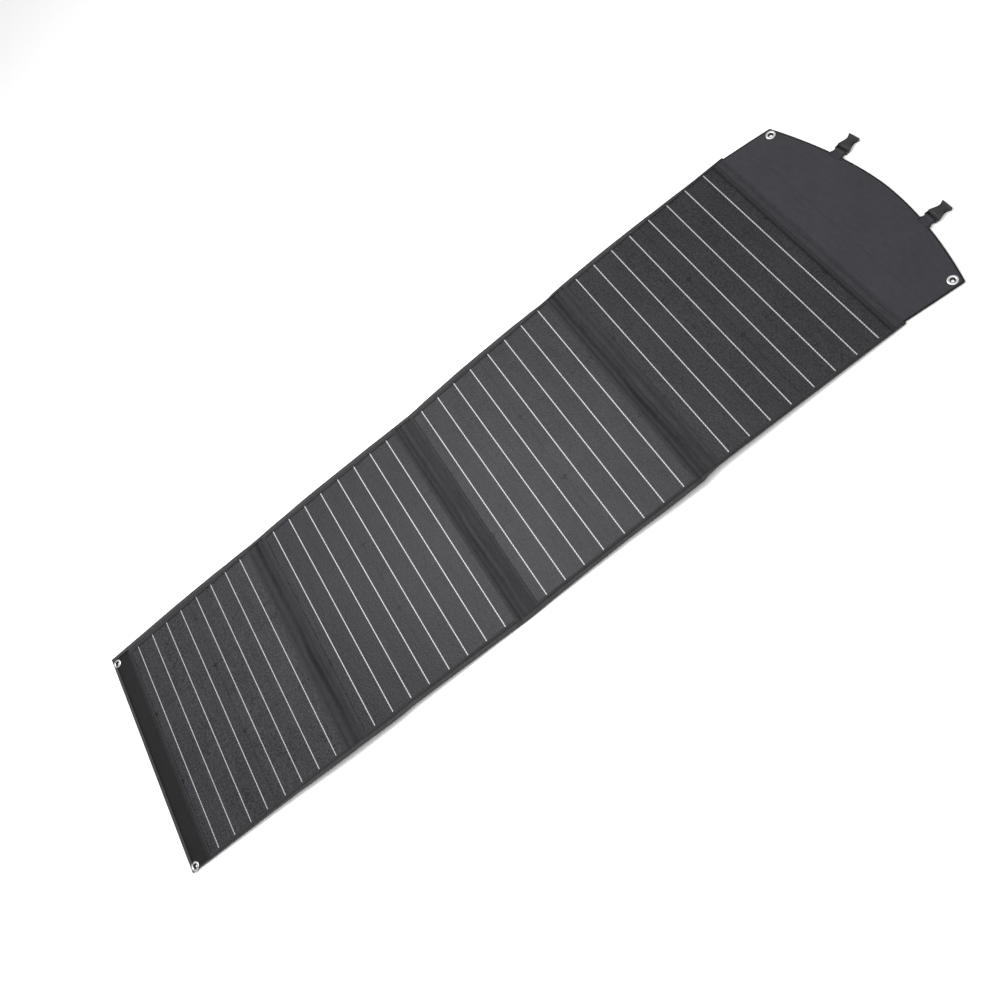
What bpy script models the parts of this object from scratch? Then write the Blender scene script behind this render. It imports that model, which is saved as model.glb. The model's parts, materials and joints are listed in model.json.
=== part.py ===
"""Foldable solar blanket: four hinged panels, a closing flap with two side-release buckles.

Metres, +Z up. +X runs along the blanket towards the flap, +Y across it, and the origin is on
the floor under the middle of the bounding box. The blanket lies open: the first and third
folds stand a little above the floor on the parts sewn underneath, the middle fold lies on it.
"""
import math

import bmesh
import bpy
from mathutils import Vector

for old in list(bpy.data.objects):
    bpy.data.objects.remove(old, do_unlink=True)

# ---------------------------------------------------------------- driving dimensions
BUSBAR_PITCH = 0.0392            # four busbars to a cell 156.8 mm wide
BUSBARS_PER_CELL = 4
CELL_GAP = 0.0028                # between the two cell columns of a panel
BUSBAR_LENGTH = 0.426
BUSBAR_WIDTH = 0.0018
CROSS_RIBBON = 0.0028            # joins the busbars beyond each end, under the hem
WIDTH = 0.450                    # hem to hem
PITCH = 0.3636                   # fold to fold
TAIL_LENGTH = 0.0258             # soft border beyond the last panel
FOLD_SETBACK = 0.0006            # each half of a fold band stops short of its axis
GAP = 0.0003                     # between touching pieces
THIN_GAP = 0.0002                # over and under the busbars

COVER = 0.0009                   # back fabric
LEAD = 0.0003                    # flat jumper lead across a fold
LEAD_WIDTH = 0.012
LEAD_Y = 0.185
BOARD = 0.0018                   # stiffener board
LAMINATE = 0.0008                # cells between two films
BORDER = 0.0006                  # front fabric
BUSBAR = 0.0002

CELL_BLOCK = 2 * BUSBARS_PER_CELL * BUSBAR_PITCH + CELL_GAP
LOW = COVER + GAP + LEAD + GAP   # underside of the front fabric along a fold
BOARD_Z = COVER + GAP
LAMINATE_Z = BOARD_Z + BOARD + GAP
BUSBAR_Z = LAMINATE_Z + LAMINATE + THIN_GAP
TOP_Z = BUSBAR_Z + BUSBAR + THIN_GAP
PANEL = TOP_Z + BORDER           # thickness of a finished panel

VALLEY_Z = PANEL + 0.00075       # axis of a fold that brings two fronts together
RIDGE_Z = -0.0005                # axis of a fold that brings two backs together

# tilt of each panel, positive when its +X end is the higher one
TILT = {4: math.radians(-1.47), 3: math.radians(1.6), 2: math.radians(-1.6), 1: math.radians(1.38)}
FOLD_2 = Vector((-0.0695, 0.0, 0.0003 + RIDGE_Z))

FLAP_Z = 0.0010                  # underside of the flap above the floor
FLAP_LAYER = 0.0006
FLAP_BOARD = 0.0008
FLAP_BASE = 0.0282               # from the seam to the first bend
SPINE = 0.0250                   # between the two bends: the folded stack's thickness
FLAP_SIDE = 0.0420               # from the second bend to a corner
FLAP_ARCH = 0.0412               # the middle of the outer edge beyond the corners
FLAP_SEAM_Y = 0.2165
FLAP_CORNER_Y = 0.2138
FLAP_DRAWN = 0.115               # the flap lies drawn to the right by this share of its reach
FLAP_ASKEW = 0.0286              # and its right corner lies further out than its left one
FLAP_TOP = FLAP_Z + 2 * FLAP_LAYER + FLAP_BOARD + 2 * GAP

GROMMET_R = 0.00835
GROMMET_BORE = 0.0042
GROMMET_BARREL = 0.0049
GROMMET_HOLE = 0.0053
GROMMET_FLANGE = 0.0007
TAIL_GROMMET_X = 0.0095          # from the tail edge
TAIL_GROMMET_Y = {"left": 0.2160, "right": -0.2127}
FLAP_GROMMET = (0.0092, 0.2015)  # from the corners' line, from the middle line

BUCKLE_Y = {"left": 0.0800, "right": -0.1098}
BUCKLE_TURN = {"left": math.radians(8.0), "right": math.radians(-1.5)}
BUCKLE_Z = 0.0032                # middle of a buckle above the floor
WEBBING = 0.0195
PLY = 0.0010
STRAP_HINGE = 0.1963             # male strap's sewn edge, from the third fold
STRAP_Z = -0.0031                # its axis under the last panel's back


# ---------------------------------------------------------------- helpers
def new_collection(name):
    collection = bpy.data.collections.new(name)
    bpy.context.scene.collection.children.link(collection)
    return collection


PARTS = new_collection("solar_blanket")
CUTTERS = new_collection("cutters")


def material(name, colour, roughness, metallic=0.0):
    made = bpy.data.materials.new(name)
    made.use_nodes = True
    shader = made.node_tree.nodes["Principled BSDF"]
    shader.inputs["Base Color"].default_value = (*colour, 1.0)
    shader.inputs["Roughness"].default_value = roughness
    shader.inputs["Metallic"].default_value = metallic
    made.diffuse_color = (*colour, 1.0)
    return made


def empty(name, location, tilt=0.0):
    made = bpy.data.objects.new(name, None)
    made.location = location
    made.rotation_euler = (0.0, -tilt, 0.0)
    PARTS.objects.link(made)
    return made


def add(name, mesh, colour, parent=None, location=(0.0, 0.0, 0.0), collection=None):
    made = bpy.data.objects.new(name, mesh)
    (collection or PARTS).objects.link(made)
    made.parent = parent
    made.location = location
    if colour is not None:
        mesh.materials.append(material(name, *colour))
    return made


def box_mesh(boxes):
    """One mesh of separate boxes, each given as its lowest and highest corner."""
    builder = bmesh.new()
    for low, high in boxes:
        low, high = Vector(low), Vector(high)
        made = bmesh.ops.create_cube(builder, size=1.0)["verts"]
        bmesh.ops.scale(builder, vec=high - low, verts=made)
        bmesh.ops.translate(builder, vec=(low + high) / 2, verts=made)
    mesh = bpy.data.meshes.new("boxes")
    builder.to_mesh(mesh)
    builder.free()
    return mesh


def turned_mesh(profile, steps=32):
    """A ring turned about Z from a closed profile of (radius, height) points."""
    builder = bmesh.new()
    points = [builder.verts.new((radius, 0.0, height)) for radius, height in profile]
    edges = [builder.edges.new((a, b)) for a, b in zip(points, points[1:] + points[:1])]
    bmesh.ops.spin(builder, geom=points + edges, cent=(0, 0, 0), axis=(0, 0, 1),
                   angle=2 * math.pi, steps=steps, use_duplicate=False)
    bmesh.ops.remove_doubles(builder, verts=builder.verts, dist=0.00001)
    bmesh.ops.recalc_face_normals(builder, faces=builder.faces)
    mesh = bpy.data.meshes.new("turned")
    builder.to_mesh(mesh)
    builder.free()
    mesh.shade_smooth()
    mesh.set_sharp_from_angle(angle=math.radians(30))
    return mesh


def outline_mesh(loops, thickness):
    """A flat plate centred on z = 0: the first loop is its outline, the others are holes."""
    curve = bpy.data.curves.new("outline", "CURVE")
    curve.dimensions = "2D"
    curve.fill_mode = "BOTH"
    curve.extrude = thickness / 2
    for loop in loops:
        spline = curve.splines.new("POLY")
        spline.points.add(len(loop) - 1)
        for point, (x, y) in zip(spline.points, loop):
            point.co = (x, y, 0.0, 1.0)
        spline.use_cyclic_u = True
    holder = bpy.data.objects.new("outline", curve)
    bpy.context.scene.collection.objects.link(holder)
    graph = bpy.context.evaluated_depsgraph_get()
    mesh = bpy.data.meshes.new_from_object(holder.evaluated_get(graph))
    bpy.data.objects.remove(holder)
    bpy.data.curves.remove(curve)
    builder = bmesh.new()
    builder.from_mesh(mesh)
    bmesh.ops.remove_doubles(builder, verts=builder.verts, dist=0.00001)
    bmesh.ops.recalc_face_normals(builder, faces=builder.faces)
    builder.to_mesh(mesh)
    builder.free()
    return mesh


def stood_up(mesh):
    """Turn a plate so that its outline's second axis points up and its thickness runs along Y."""
    for vertex in mesh.vertices:
        x, y, z = vertex.co
        vertex.co = (x, -z, y)
    return mesh


def arc(centre, radius, start, end, steps=6):
    """Points of an arc, its angles in degrees."""
    turns = [math.radians(start + (end - start) * step / steps) for step in range(steps + 1)]
    return [(centre[0] + radius * math.cos(a), centre[1] + radius * math.sin(a)) for a in turns]


def combine(target, tool, operation):
    tool.hide_render = True
    tool.display_type = "WIRE"
    modifier = target.modifiers.new(tool.name, "BOOLEAN")
    modifier.operation = operation
    modifier.solver = "EXACT"
    modifier.object = tool


def cut(target, cutter):
    combine(target, cutter, "DIFFERENCE")


def join(target, mesh, name, parent):
    combine(target, add(name, mesh, None, parent, collection=CUTTERS), "UNION")


def box_cutter(name, low, high, parent=None, location=(0.0, 0.0, 0.0)):
    return add(name, box_mesh([(low, high)]), None, parent, location, CUTTERS)


def cylinder_cutter(name, radius, height, parent, location):
    builder = bmesh.new()
    bmesh.ops.create_cone(builder, cap_ends=True, segments=24, radius1=radius, radius2=radius,
                          depth=height)
    mesh = bpy.data.meshes.new(name)
    builder.to_mesh(mesh)
    builder.free()
    return add(name, mesh, None, parent, location, CUTTERS)


# ---------------------------------------------------------------- colours: colour, roughness, metallic
BACK_FABRIC = ((0.020, 0.021, 0.024), 0.85)
FRONT_FABRIC = ((0.035, 0.036, 0.040), 0.80)
FLAP_FABRIC = ((0.048, 0.051, 0.058), 0.70)
STIFF_BOARD = ((0.55, 0.53, 0.46), 0.60)
CELLS = ((0.075, 0.078, 0.084), 0.45)
TINNED = ((0.80, 0.80, 0.78), 0.35, 1.0)
COPPER = ((0.72, 0.38, 0.22), 0.35, 1.0)
STEEL = ((0.78, 0.78, 0.80), 0.22, 1.0)
PLASTIC = ((0.020, 0.020, 0.022), 0.40)
BOX_PLASTIC = ((0.015, 0.015, 0.016), 0.50)
WEBBING_CLOTH = ((0.060, 0.062, 0.068), 0.85)


# ---------------------------------------------------------------- where the bodies hang
def turn(tilt, along, up):
    """A step along and square to a panel's back, in the object's own axes."""
    return Vector((along * math.cos(tilt) - up * math.sin(tilt), 0.0,
                   along * math.sin(tilt) + up * math.cos(tilt)))


FOLD_1 = FOLD_2 + turn(TILT[3], PITCH, VALLEY_Z - RIDGE_Z)
FOLD_3 = FOLD_2 + turn(TILT[2], -PITCH, VALLEY_Z - RIDGE_Z)

# each panel hangs from an empty on its fold; the second value is the fold in the panel's own
# coordinates, measured from the middle of its back
PANELS = {
    4: (empty("panel_4_frame", FOLD_1, TILT[4]), Vector((-PITCH / 2, 0, VALLEY_Z))),
    3: (empty("fold_1_axis", FOLD_1, TILT[3]), Vector((PITCH / 2, 0, VALLEY_Z))),
    2: (empty("fold_2_axis", FOLD_2, TILT[2]), Vector((PITCH / 2, 0, RIDGE_Z))),
    1: (empty("fold_3_axis", FOLD_3, TILT[1]), Vector((PITCH / 2, 0, VALLEY_Z))),
}


def panel_ends(number):
    """The two ends of a panel's fabric in its own coordinates."""
    low = -PITCH / 2 + FOLD_SETBACK
    high = PITCH / 2 - FOLD_SETBACK
    if number == 1:
        low = -PITCH / 2 - TAIL_LENGTH
    return low, high


# the folds at a panel's two ends, by the side they are on
FOLDS_OF = {4: ((-1, 1),), 3: ((-1, 2), (1, 1)), 2: ((-1, 3), (1, 2)), 1: ((1, 3),)}


def on_panel(name, number, mesh, colour, location=(0.0, 0.0, 0.0)):
    frame, fold = PANELS[number]
    return add(name, mesh, colour, frame, Vector(location) - fold)


# ---------------------------------------------------------------- panels
SHOULDER_X = CELL_BLOCK / 2 + 0.0058
SHOULDER_Y = BUSBAR_LENGTH / 2 + 0.0050
WINDOW_X = CELL_BLOCK / 2
WINDOW_Y = BUSBAR_LENGTH / 2 + 0.0005
RAMP_X = 0.0050
RAMP_Y = 0.0040


def border_mesh(low, high):
    """Front fabric with a window for the cells, stepping down outside the stiffener board."""
    xs = [low, -SHOULDER_X - RAMP_X, -SHOULDER_X, -WINDOW_X]
    xs += [WINDOW_X, SHOULDER_X, SHOULDER_X + RAMP_X, high]
    half = [WINDOW_Y, SHOULDER_Y, SHOULDER_Y + RAMP_Y, WIDTH / 2]
    ys = [-y for y in reversed(half)] + half
    builder = bmesh.new()
    bmesh.ops.create_grid(builder, x_segments=len(xs) - 1, y_segments=len(ys) - 1, size=1.0)
    columns = sorted({round(v.co.x, 4) for v in builder.verts})
    rows = sorted({round(v.co.y, 4) for v in builder.verts})
    for vertex in builder.verts:
        x = xs[columns.index(round(vertex.co.x, 4))]
        y = ys[rows.index(round(vertex.co.y, 4))]
        raised = abs(x) <= SHOULDER_X and abs(y) <= SHOULDER_Y
        vertex.co = (x, y, TOP_Z if raised else LOW)
    window = [face for face in builder.faces
              if abs(face.calc_center_median().x) < WINDOW_X
              and abs(face.calc_center_median().y) < WINDOW_Y]
    bmesh.ops.delete(builder, geom=window, context="FACES_ONLY")
    bmesh.ops.delete(builder, geom=[v for v in builder.verts if not v.link_faces], context="VERTS")
    mesh = bpy.data.meshes.new("border")
    builder.to_mesh(mesh)
    builder.free()
    return mesh


def busbar_places():
    places = []
    for column in (-1, 1):
        middle = column * (BUSBARS_PER_CELL * BUSBAR_PITCH + CELL_GAP) / 2
        for line in range(BUSBARS_PER_CELL):
            places.append(middle + (line - (BUSBARS_PER_CELL - 1) / 2) * BUSBAR_PITCH)
    return places


def rectangle(x_low, x_high, y_low, y_high):
    return [(x_low, y_low), (x_high, y_low), (x_high, y_high), (x_low, y_high)]


def busbar_mesh():
    """The busbars of a panel, joined by a cross ribbon under the hem at each end."""
    reach = BUSBAR_LENGTH / 2 + CROSS_RIBBON
    places = busbar_places()
    half = BUSBAR_WIDTH / 2
    loops = [rectangle(places[0] - half, places[-1] + half, -reach, reach)]
    end = BUSBAR_LENGTH / 2 + CROSS_RIBBON / 2
    for left, right in zip(places, places[1:]):
        loops.append(rectangle(left + half, right - half, -end, end))
    return outline_mesh(loops, BUSBAR)


def make_panel(number):
    low, high = panel_ends(number)
    name = f"panel_{number}_"
    half = WIDTH / 2
    cover = on_panel(name + "back_cover", number,
                     box_mesh([((low, -half, 0), (high, half, COVER))]), BACK_FABRIC)
    x, y = CELL_BLOCK / 2 + 0.0040, BUSBAR_LENGTH / 2 + 0.0038
    on_panel(name + "board", number,
             box_mesh([((-x, -y, BOARD_Z), (x, y, BOARD_Z + BOARD))]), STIFF_BOARD)
    x, y = CELL_BLOCK / 2 + 0.0030, BUSBAR_LENGTH / 2 + 0.0030
    on_panel(name + "laminate", number,
             box_mesh([((-x, -y, LAMINATE_Z), (x, y, LAMINATE_Z + LAMINATE))]), CELLS)
    on_panel(name + "busbars", number, busbar_mesh(), TINNED, (0, 0, BUSBAR_Z + BUSBAR / 2))
    border = on_panel(name + "front_border", number, border_mesh(low, high), FRONT_FABRIC)
    thicken = border.modifiers.new("thickness", "SOLIDIFY")
    thicken.thickness = BORDER
    thicken.offset = 1.0
    near, far = CELL_BLOCK / 2 + 0.0050, PITCH / 2 - FOLD_SETBACK
    for side, fold in FOLDS_OF[number]:
        left, right = sorted((side * near, side * far))
        lead = box_mesh([((left, LEAD_Y - LEAD_WIDTH / 2, COVER + GAP),
                          (right, LEAD_Y + LEAD_WIDTH / 2, COVER + GAP + LEAD))])
        on_panel(f"{name}fold_{fold}_lead", number, lead, COPPER)
    return cover, border


covers = {number: make_panel(number) for number in PANELS}


# ---------------------------------------------------------------- grommets
def eyelet_profile(underside, topside):
    """Flange on top and a barrel down through the fabric, its lower lip inside the washer."""
    return [(GROMMET_BORE, topside + GAP + GROMMET_FLANGE),
            (GROMMET_BORE, underside - GAP - GROMMET_FLANGE),
            (GROMMET_BARREL, underside - GAP - GROMMET_FLANGE),
            (GROMMET_BARREL, topside + GAP),
            (GROMMET_R, topside + GAP),
            (GROMMET_R - 0.0003, topside + GAP + GROMMET_FLANGE * 0.6),
            (GROMMET_R - 0.0012, topside + GAP + GROMMET_FLANGE)]


def washer_profile(underside):
    return [(GROMMET_BARREL + GAP, underside - GAP),
            (GROMMET_BARREL + GAP, underside - GAP - GROMMET_FLANGE),
            (GROMMET_R, underside - GAP - GROMMET_FLANGE),
            (GROMMET_R, underside - GAP)]


def make_grommet(name, parent, place, underside, topside, layers):
    add(f"grommet_eyelet_{name}", turned_mesh(eyelet_profile(underside, topside)), STEEL,
        parent, place)
    add(f"grommet_washer_{name}", turned_mesh(washer_profile(underside)), STEEL, parent, place)
    hole = cylinder_cutter(f"grommet_hole_{name}", GROMMET_HOLE, 0.02, parent, place)
    for layer in layers:
        cut(layer, hole)


tail_frame, tail_fold = PANELS[1]
for word, y in TAIL_GROMMET_Y.items():
    x = -PITCH / 2 - TAIL_LENGTH + TAIL_GROMMET_X
    make_grommet(f"tail_{word}", tail_frame, Vector((x, y, 0.0)) - tail_fold,
                 0.0, LOW + BORDER, covers[1])


# ---------------------------------------------------------------- flap
SEAM = PANELS[4][0].location + turn(TILT[4], PITCH, -VALLEY_Z)
BEND_1 = Vector((SEAM.x + FLAP_BASE, 0.0, FLAP_TOP))
BEND_2 = BEND_1 + Vector((SPINE, 0.0, 0.0))
CORNER_X = BEND_2.x + FLAP_SIDE
FLAP_MIDDLE = (FLAP_Z + FLAP_TOP) / 2
FLAP_THICKNESS = FLAP_TOP - FLAP_Z


def flap_half_width(x):
    """The flap's side edges draw in evenly from the seam to the corners."""
    share = (x - SEAM.x) / (CORNER_X - SEAM.x)
    return FLAP_SEAM_Y + (FLAP_CORNER_Y - FLAP_SEAM_Y) * share


def askew(x, y):
    """Where a point of the straight flap lies once it is drawn a little askew."""
    beyond = min(1.0, max(0.0, (x - BEND_2.x - FOLD_SETBACK) / (FLAP_SIDE - FOLD_SETBACK)))
    return x - FLAP_ASKEW * beyond * y, y - FLAP_DRAWN * (x - SEAM.x)


def flap_strip(start, end):
    a, b = flap_half_width(start), flap_half_width(end)
    return [askew(*point) for point in ((start, -a), (end, -b), (end, b), (start, a))]


def flap_outline(inset):
    """From the second bend out to the arched edge, inset by a margin all round."""
    start = BEND_2.x + FOLD_SETBACK + inset
    corner = CORNER_X - inset
    radius = 0.003
    top = FLAP_CORNER_Y - inset
    points = [(start, -flap_half_width(start) + inset)]
    points += arc((corner - radius, -top + radius), radius, -90, -28, 3)
    steps = 28
    reach = top - 0.002
    for step in range(steps + 1):
        y = -reach + 2 * reach * step / steps
        points.append((corner + FLAP_ARCH * (1 - abs(y / reach) ** 1.8), y))
    points += arc((corner - radius, top - radius), radius, 28, 90, 3)
    points.append((start, flap_half_width(start) - inset))
    return [askew(*point) for point in points]


def flap_edge_x(y):
    """The outer edge of the flap as it lies, at a distance to the left of the middle line."""
    reach = FLAP_CORNER_Y - 0.002
    x, before = CORNER_X, y
    for _ in range(6):
        before = y + FLAP_DRAWN * (x - SEAM.x)
        x = CORNER_X + FLAP_ARCH * (1 - abs(before / reach) ** 1.8)
    return x - FLAP_ASKEW * before


seam_gap = SEAM.x + FOLD_SETBACK
flap_seam = empty("flap_seam", Vector((SEAM.x, 0.0, FLAP_MIDDLE)))
base_strip = flap_strip(seam_gap, BEND_1.x - FOLD_SETBACK)
add("flap_base", outline_mesh([base_strip], FLAP_THICKNESS), FLAP_FABRIC, flap_seam,
    (-SEAM.x, 0, 0))
spine_axis = empty("bend_1_axis", BEND_1)
spine_strip = flap_strip(BEND_1.x + FOLD_SETBACK, BEND_2.x - FOLD_SETBACK)
add("flap_spine", outline_mesh([spine_strip], FLAP_THICKNESS), FLAP_FABRIC, spine_axis,
    (-BEND_1.x, 0, FLAP_MIDDLE - BEND_1.z))
flap_axis = empty("bend_2_axis", BEND_2)


def flap_layer(name, inset, thickness, middle, colour):
    return add(name, outline_mesh([flap_outline(inset)], thickness), colour, flap_axis,
               (-BEND_2.x, 0, middle - BEND_2.z))


lining = flap_layer("flap_lining", 0.0, FLAP_LAYER, FLAP_Z + FLAP_LAYER / 2, FLAP_FABRIC)
board = flap_layer("flap_board", 0.0025, FLAP_BOARD, FLAP_MIDDLE, STIFF_BOARD)
outer = flap_layer("flap_cover", 0.0, FLAP_LAYER, FLAP_TOP - FLAP_LAYER / 2, FLAP_FABRIC)
for side, word in ((-1, "flap_right"), (1, "flap_left")):
    x, y = askew(CORNER_X - FLAP_GROMMET[0], side * FLAP_GROMMET[1])
    place = Vector((x, y, 0.0)) - BEND_2
    make_grommet(word, flap_axis, place, FLAP_Z, FLAP_TOP, (lining, board, outer))


# ---------------------------------------------------------------- buckles
FEMALE_BAR = 0.0076              # from the tab's hinge to the webbing bar
BAR = 0.0022
SLOT = 0.0045
FEMALE_LENGTH = 0.0248           # body beyond the slot
FEMALE_HEIGHT = 0.0064
RING_HALF = 0.0116
WAIST_HALF = 0.0071
MOUTH_HALF = 0.0102
SOCKET_HEIGHT = 0.0044
TONGUE = 0.0240
PRONG = 0.0030


def webbing_loop(start, split, bar_x, width):
    """Webbing sewn to itself up to its split and open round a bar, drawn from the side."""
    inner = BAR / 2 + GAP
    outer = inner + PLY
    sewn = 0.6 * PLY
    shape = arc((bar_x, 0.0), outer, -90, 90, 10)
    shape += [(split + 0.0020, outer), (split, sewn), (start, sewn)]
    shape += [(start, -sewn), (split, -sewn), (split + 0.0020, -outer)]
    hole = rectangle(split + 0.0036, bar_x + inner, -inner, inner)
    return stood_up(outline_mesh([shape, hole], width))


def female_outline():
    """Plan of the socket half from the slot to the mouth: shoulders, waist and flared mouth."""
    start = FEMALE_BAR + BAR + SLOT
    half = [(start, RING_HALF), (start + 0.0020, RING_HALF), (start + 0.0070, 0.0096),
            (start + 0.0120, 0.0077), (start + 0.0155, WAIST_HALF), (start + 0.0180, 0.0074),
            (start + 0.0205, 0.0086), (start + 0.0230, 0.0099),
            (start + FEMALE_LENGTH, MOUTH_HALF)]
    return half + [(x, -y) for x, y in reversed(half)]


def make_female(name):
    y, turned = BUCKLE_Y[name], BUCKLE_TURN[name]
    half = WEBBING / 2
    x = max(flap_edge_x(y + across * math.cos(turned)) + across * math.sin(turned)
            for across in (-half, -half / 2, 0.0, half / 2, half)) + GAP
    hinge = empty(f"buckle_{name}_tab_axis", Vector((x, y, BUCKLE_Z)))
    hinge.rotation_euler = (0.0, 0.0, turned)
    add(f"webbing_tab_{name}", webbing_loop(0.0009, 0.0033, FEMALE_BAR + BAR / 2, WEBBING),
        WEBBING_CLOTH, hinge)
    body = add(f"buckle_socket_{name}", outline_mesh([female_outline()], FEMALE_HEIGHT),
               PLASTIC, hinge)
    arm = (RING_HALF + WEBBING / 2 + GAP) / 2
    join(body, box_mesh([
        ((FEMALE_BAR, side * arm - 0.0008, -0.0018),
         (FEMALE_BAR + BAR + SLOT + 0.002, side * arm + 0.0008, 0.0018)) for side in (-1, 1)]),
        f"arms_{name}", hinge)
    join(body, box_mesh([
        ((FEMALE_BAR, -RING_HALF, -BAR / 2), (FEMALE_BAR + BAR, RING_HALF, BAR / 2))]),
        f"ring_{name}", hinge)
    end = FEMALE_BAR + BAR + SLOT + FEMALE_LENGTH
    cut(body, box_cutter(f"throat_{name}", (end - 0.0205, -0.0053, -SOCKET_HEIGHT / 2),
                         (end + 0.002, 0.0053, SOCKET_HEIGHT / 2), hinge))
    cut(body, box_cutter(f"mouth_{name}", (end - 0.0060, -0.0082, -SOCKET_HEIGHT / 2),
                         (end + 0.002, 0.0082, SOCKET_HEIGHT / 2), hinge))
    cut(body, box_cutter(f"windows_{name}", (end - 0.0165, -0.02, -SOCKET_HEIGHT / 2),
                         (end - 0.0075, 0.02, SOCKET_HEIGHT / 2), hinge))
    soften = body.modifiers.new("edges", "BEVEL")
    soften.width = 0.0004
    soften.segments = 1
    soften.limit_method = "ANGLE"
    soften.angle_limit = math.radians(40)


make_female("right")
make_female("left")

STRAP = 0.0390                   # from the sewn edge to the male half's bar
PATCH = (0.0300, 0.0018)
BASE = 0.0180
GRIP = 0.0048                    # thickness of the male half's finger grip
TONGUE_HALF = 0.0015
PRONG_Y = 0.0056


def male_base_loops():
    """Plan of the male half: a frame with a slot, and the middle tongue."""
    end = STRAP + BASE
    half = [(STRAP, 0.0118), (end - 0.002, 0.0118), (end, 0.0100), (end, 0.0086)]
    tongue = [(end, TONGUE_HALF), (end + TONGUE - 0.002, TONGUE_HALF),
              (end + TONGUE, TONGUE_HALF / 2)]
    half += tongue
    outline = half + [(x, -y) for x, y in reversed(half)]
    slot = [(STRAP + BAR, -0.0101), (STRAP + BAR + SLOT, -0.0101),
            (STRAP + BAR + SLOT, 0.0101), (STRAP + BAR, 0.0101)]
    return [outline, slot]


def prong_outline(side):
    """A springy arm with a barbed head, its root on the hinge line."""
    head = TONGUE - 0.0005
    points = [(GAP, -0.0012), (head - 0.0080, -0.0012), (head - 0.0075, -0.0014),
              (head, -0.0016), (head, 0.0000), (head - 0.0030, 0.0016),
              (head - 0.0080, 0.0022), (head - 0.0085, 0.0012), (GAP, 0.0012)]
    return [(x, side * y) for x, y in points]


def make_male(name):
    y = BUCKLE_Y[name]
    place = Vector((PITCH / 2 - STRAP_HINGE, y, 0.0))
    patch_low = -GAP - PATCH[1]
    on_panel(f"strap_patch_{name}", 1, box_mesh([
        ((-PATCH[0], -WEBBING / 2, patch_low), (0.0, WEBBING / 2, -GAP))]), WEBBING_CLOTH, place)
    frame, fold = PANELS[1]
    where = frame.location + turn(TILT[1], *(place - fold + Vector((0, 0, STRAP_Z))).xz)
    hinge = empty(f"strap_{name}_axis", Vector((where.x, y, where.z)), TILT[1])
    add(f"strap_{name}", webbing_loop(0.0009, PATCH[0] + 0.001, STRAP + BAR / 2, WEBBING),
        WEBBING_CLOTH, hinge)
    plug = add(f"buckle_plug_{name}", outline_mesh(male_base_loops(), BAR), PLASTIC, hinge)
    grip_start = STRAP + BAR + SLOT + 0.0006
    join(plug, box_mesh([((grip_start, -0.0086, -GRIP / 2),
                          (STRAP + BASE - 0.0004, 0.0086, GRIP / 2))]), f"grip_{name}", hinge)
    for side, word in ((-1, "inner" if y > 0 else "outer"), (1, "outer" if y > 0 else "inner")):
        at = turn(TILT[1], STRAP + BASE, 0.0)
        prong = empty(f"prong_{name}_{word}_axis",
                      hinge.location + Vector((at.x, side * PRONG_Y, at.z)), TILT[1])
        add(f"prong_{name}_{word}", outline_mesh([prong_outline(side)], PRONG), PLASTIC, prong)


make_male("right")
make_male("left")


# ---------------------------------------------------------------- junction box
BOX = (0.0720, 0.0500, 0.0077)
BOX_X = -PITCH / 2 + 0.0560      # middle, from the middle of the fourth panel
WALL = 0.0012
GLAND_R = 0.0033


def make_junction_box():
    x, y, z = BOX[0] / 2, BOX[1] / 2, BOX[2]
    place = Vector((BOX_X, 0.0, -GAP))
    tray = on_panel("junction_box_tray", 4, box_mesh([((-x, -y, -z), (x, y, 0.0))]),
                    BOX_PLASTIC, place)
    frame, fold = PANELS[4]
    hollow = box_cutter("box_hollow", (-x + WALL, -y + WALL, -z - 0.001), (x - WALL, y - WALL, -WALL),
                        frame, place - fold)
    cut(tray, hollow)
    lid_top = -z + WALL
    on_panel("junction_box_lid", 4, box_mesh([
        ((-x + WALL + GAP, -y + WALL + GAP, -z), (x - WALL - GAP, y - WALL - GAP, lid_top))]),
        BOX_PLASTIC, place)
    on_panel("terminal_block", 4, box_mesh([
        ((-0.0260, -0.0150, -WALL - GAP - 0.0032), (-0.0160, 0.0150, -WALL - GAP))]),
        TINNED, place)
    on_panel("blocking_diode", 4, box_mesh([
        ((-0.0040, -0.0080, -WALL - GAP - 0.0028), (0.0060, 0.0080, -WALL - GAP))]),
        BOX_PLASTIC, place)
    for side, word in ((-1, "right"), (1, "left")):
        profile = [(0.0, 0.0), (GLAND_R, 0.0), (GLAND_R, 0.0060), (0.0022, 0.0095),
                   (0.0014, 0.0095), (0.0014, 0.0040), (0.0, 0.0040)]
        mesh = gland_mesh(profile)
        for vertex in mesh.vertices:
            a, b, c = vertex.co
            vertex.co = (a, side * c, -side * b)
        on_panel(f"cable_gland_{word}", 4, mesh, BOX_PLASTIC,
                 place + Vector((0.012, side * (y + GAP), -z / 2)))


def gland_mesh(profile):
    """A solid turned about Z: the profile starts and ends on the axis."""
    builder = bmesh.new()
    points = [builder.verts.new((radius, 0.0, height)) for radius, height in profile]
    edges = [builder.edges.new((a, b)) for a, b in zip(points, points[1:])]
    bmesh.ops.spin(builder, geom=points + edges, cent=(0, 0, 0), axis=(0, 0, 1),
                   angle=2 * math.pi, steps=20, use_duplicate=False)
    bmesh.ops.remove_doubles(builder, verts=builder.verts, dist=0.00001)
    bmesh.ops.recalc_face_normals(builder, faces=builder.faces)
    mesh = bpy.data.meshes.new("gland")
    builder.to_mesh(mesh)
    builder.free()
    return mesh


make_junction_box()
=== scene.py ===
"""Looks of a foldable solar blanket: four cell panels sewn into one cloth, and a closing flap.

Metres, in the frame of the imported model: +X runs along the blanket to the flap, +Y across it.
Each panel is shaped lying flat in its own frame, measured from the middle of its back, and then
laid on the panel's place. Cloth that crosses a fold is shaped half in one panel's frame and half
in the next one's.
"""
import json
import math

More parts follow.
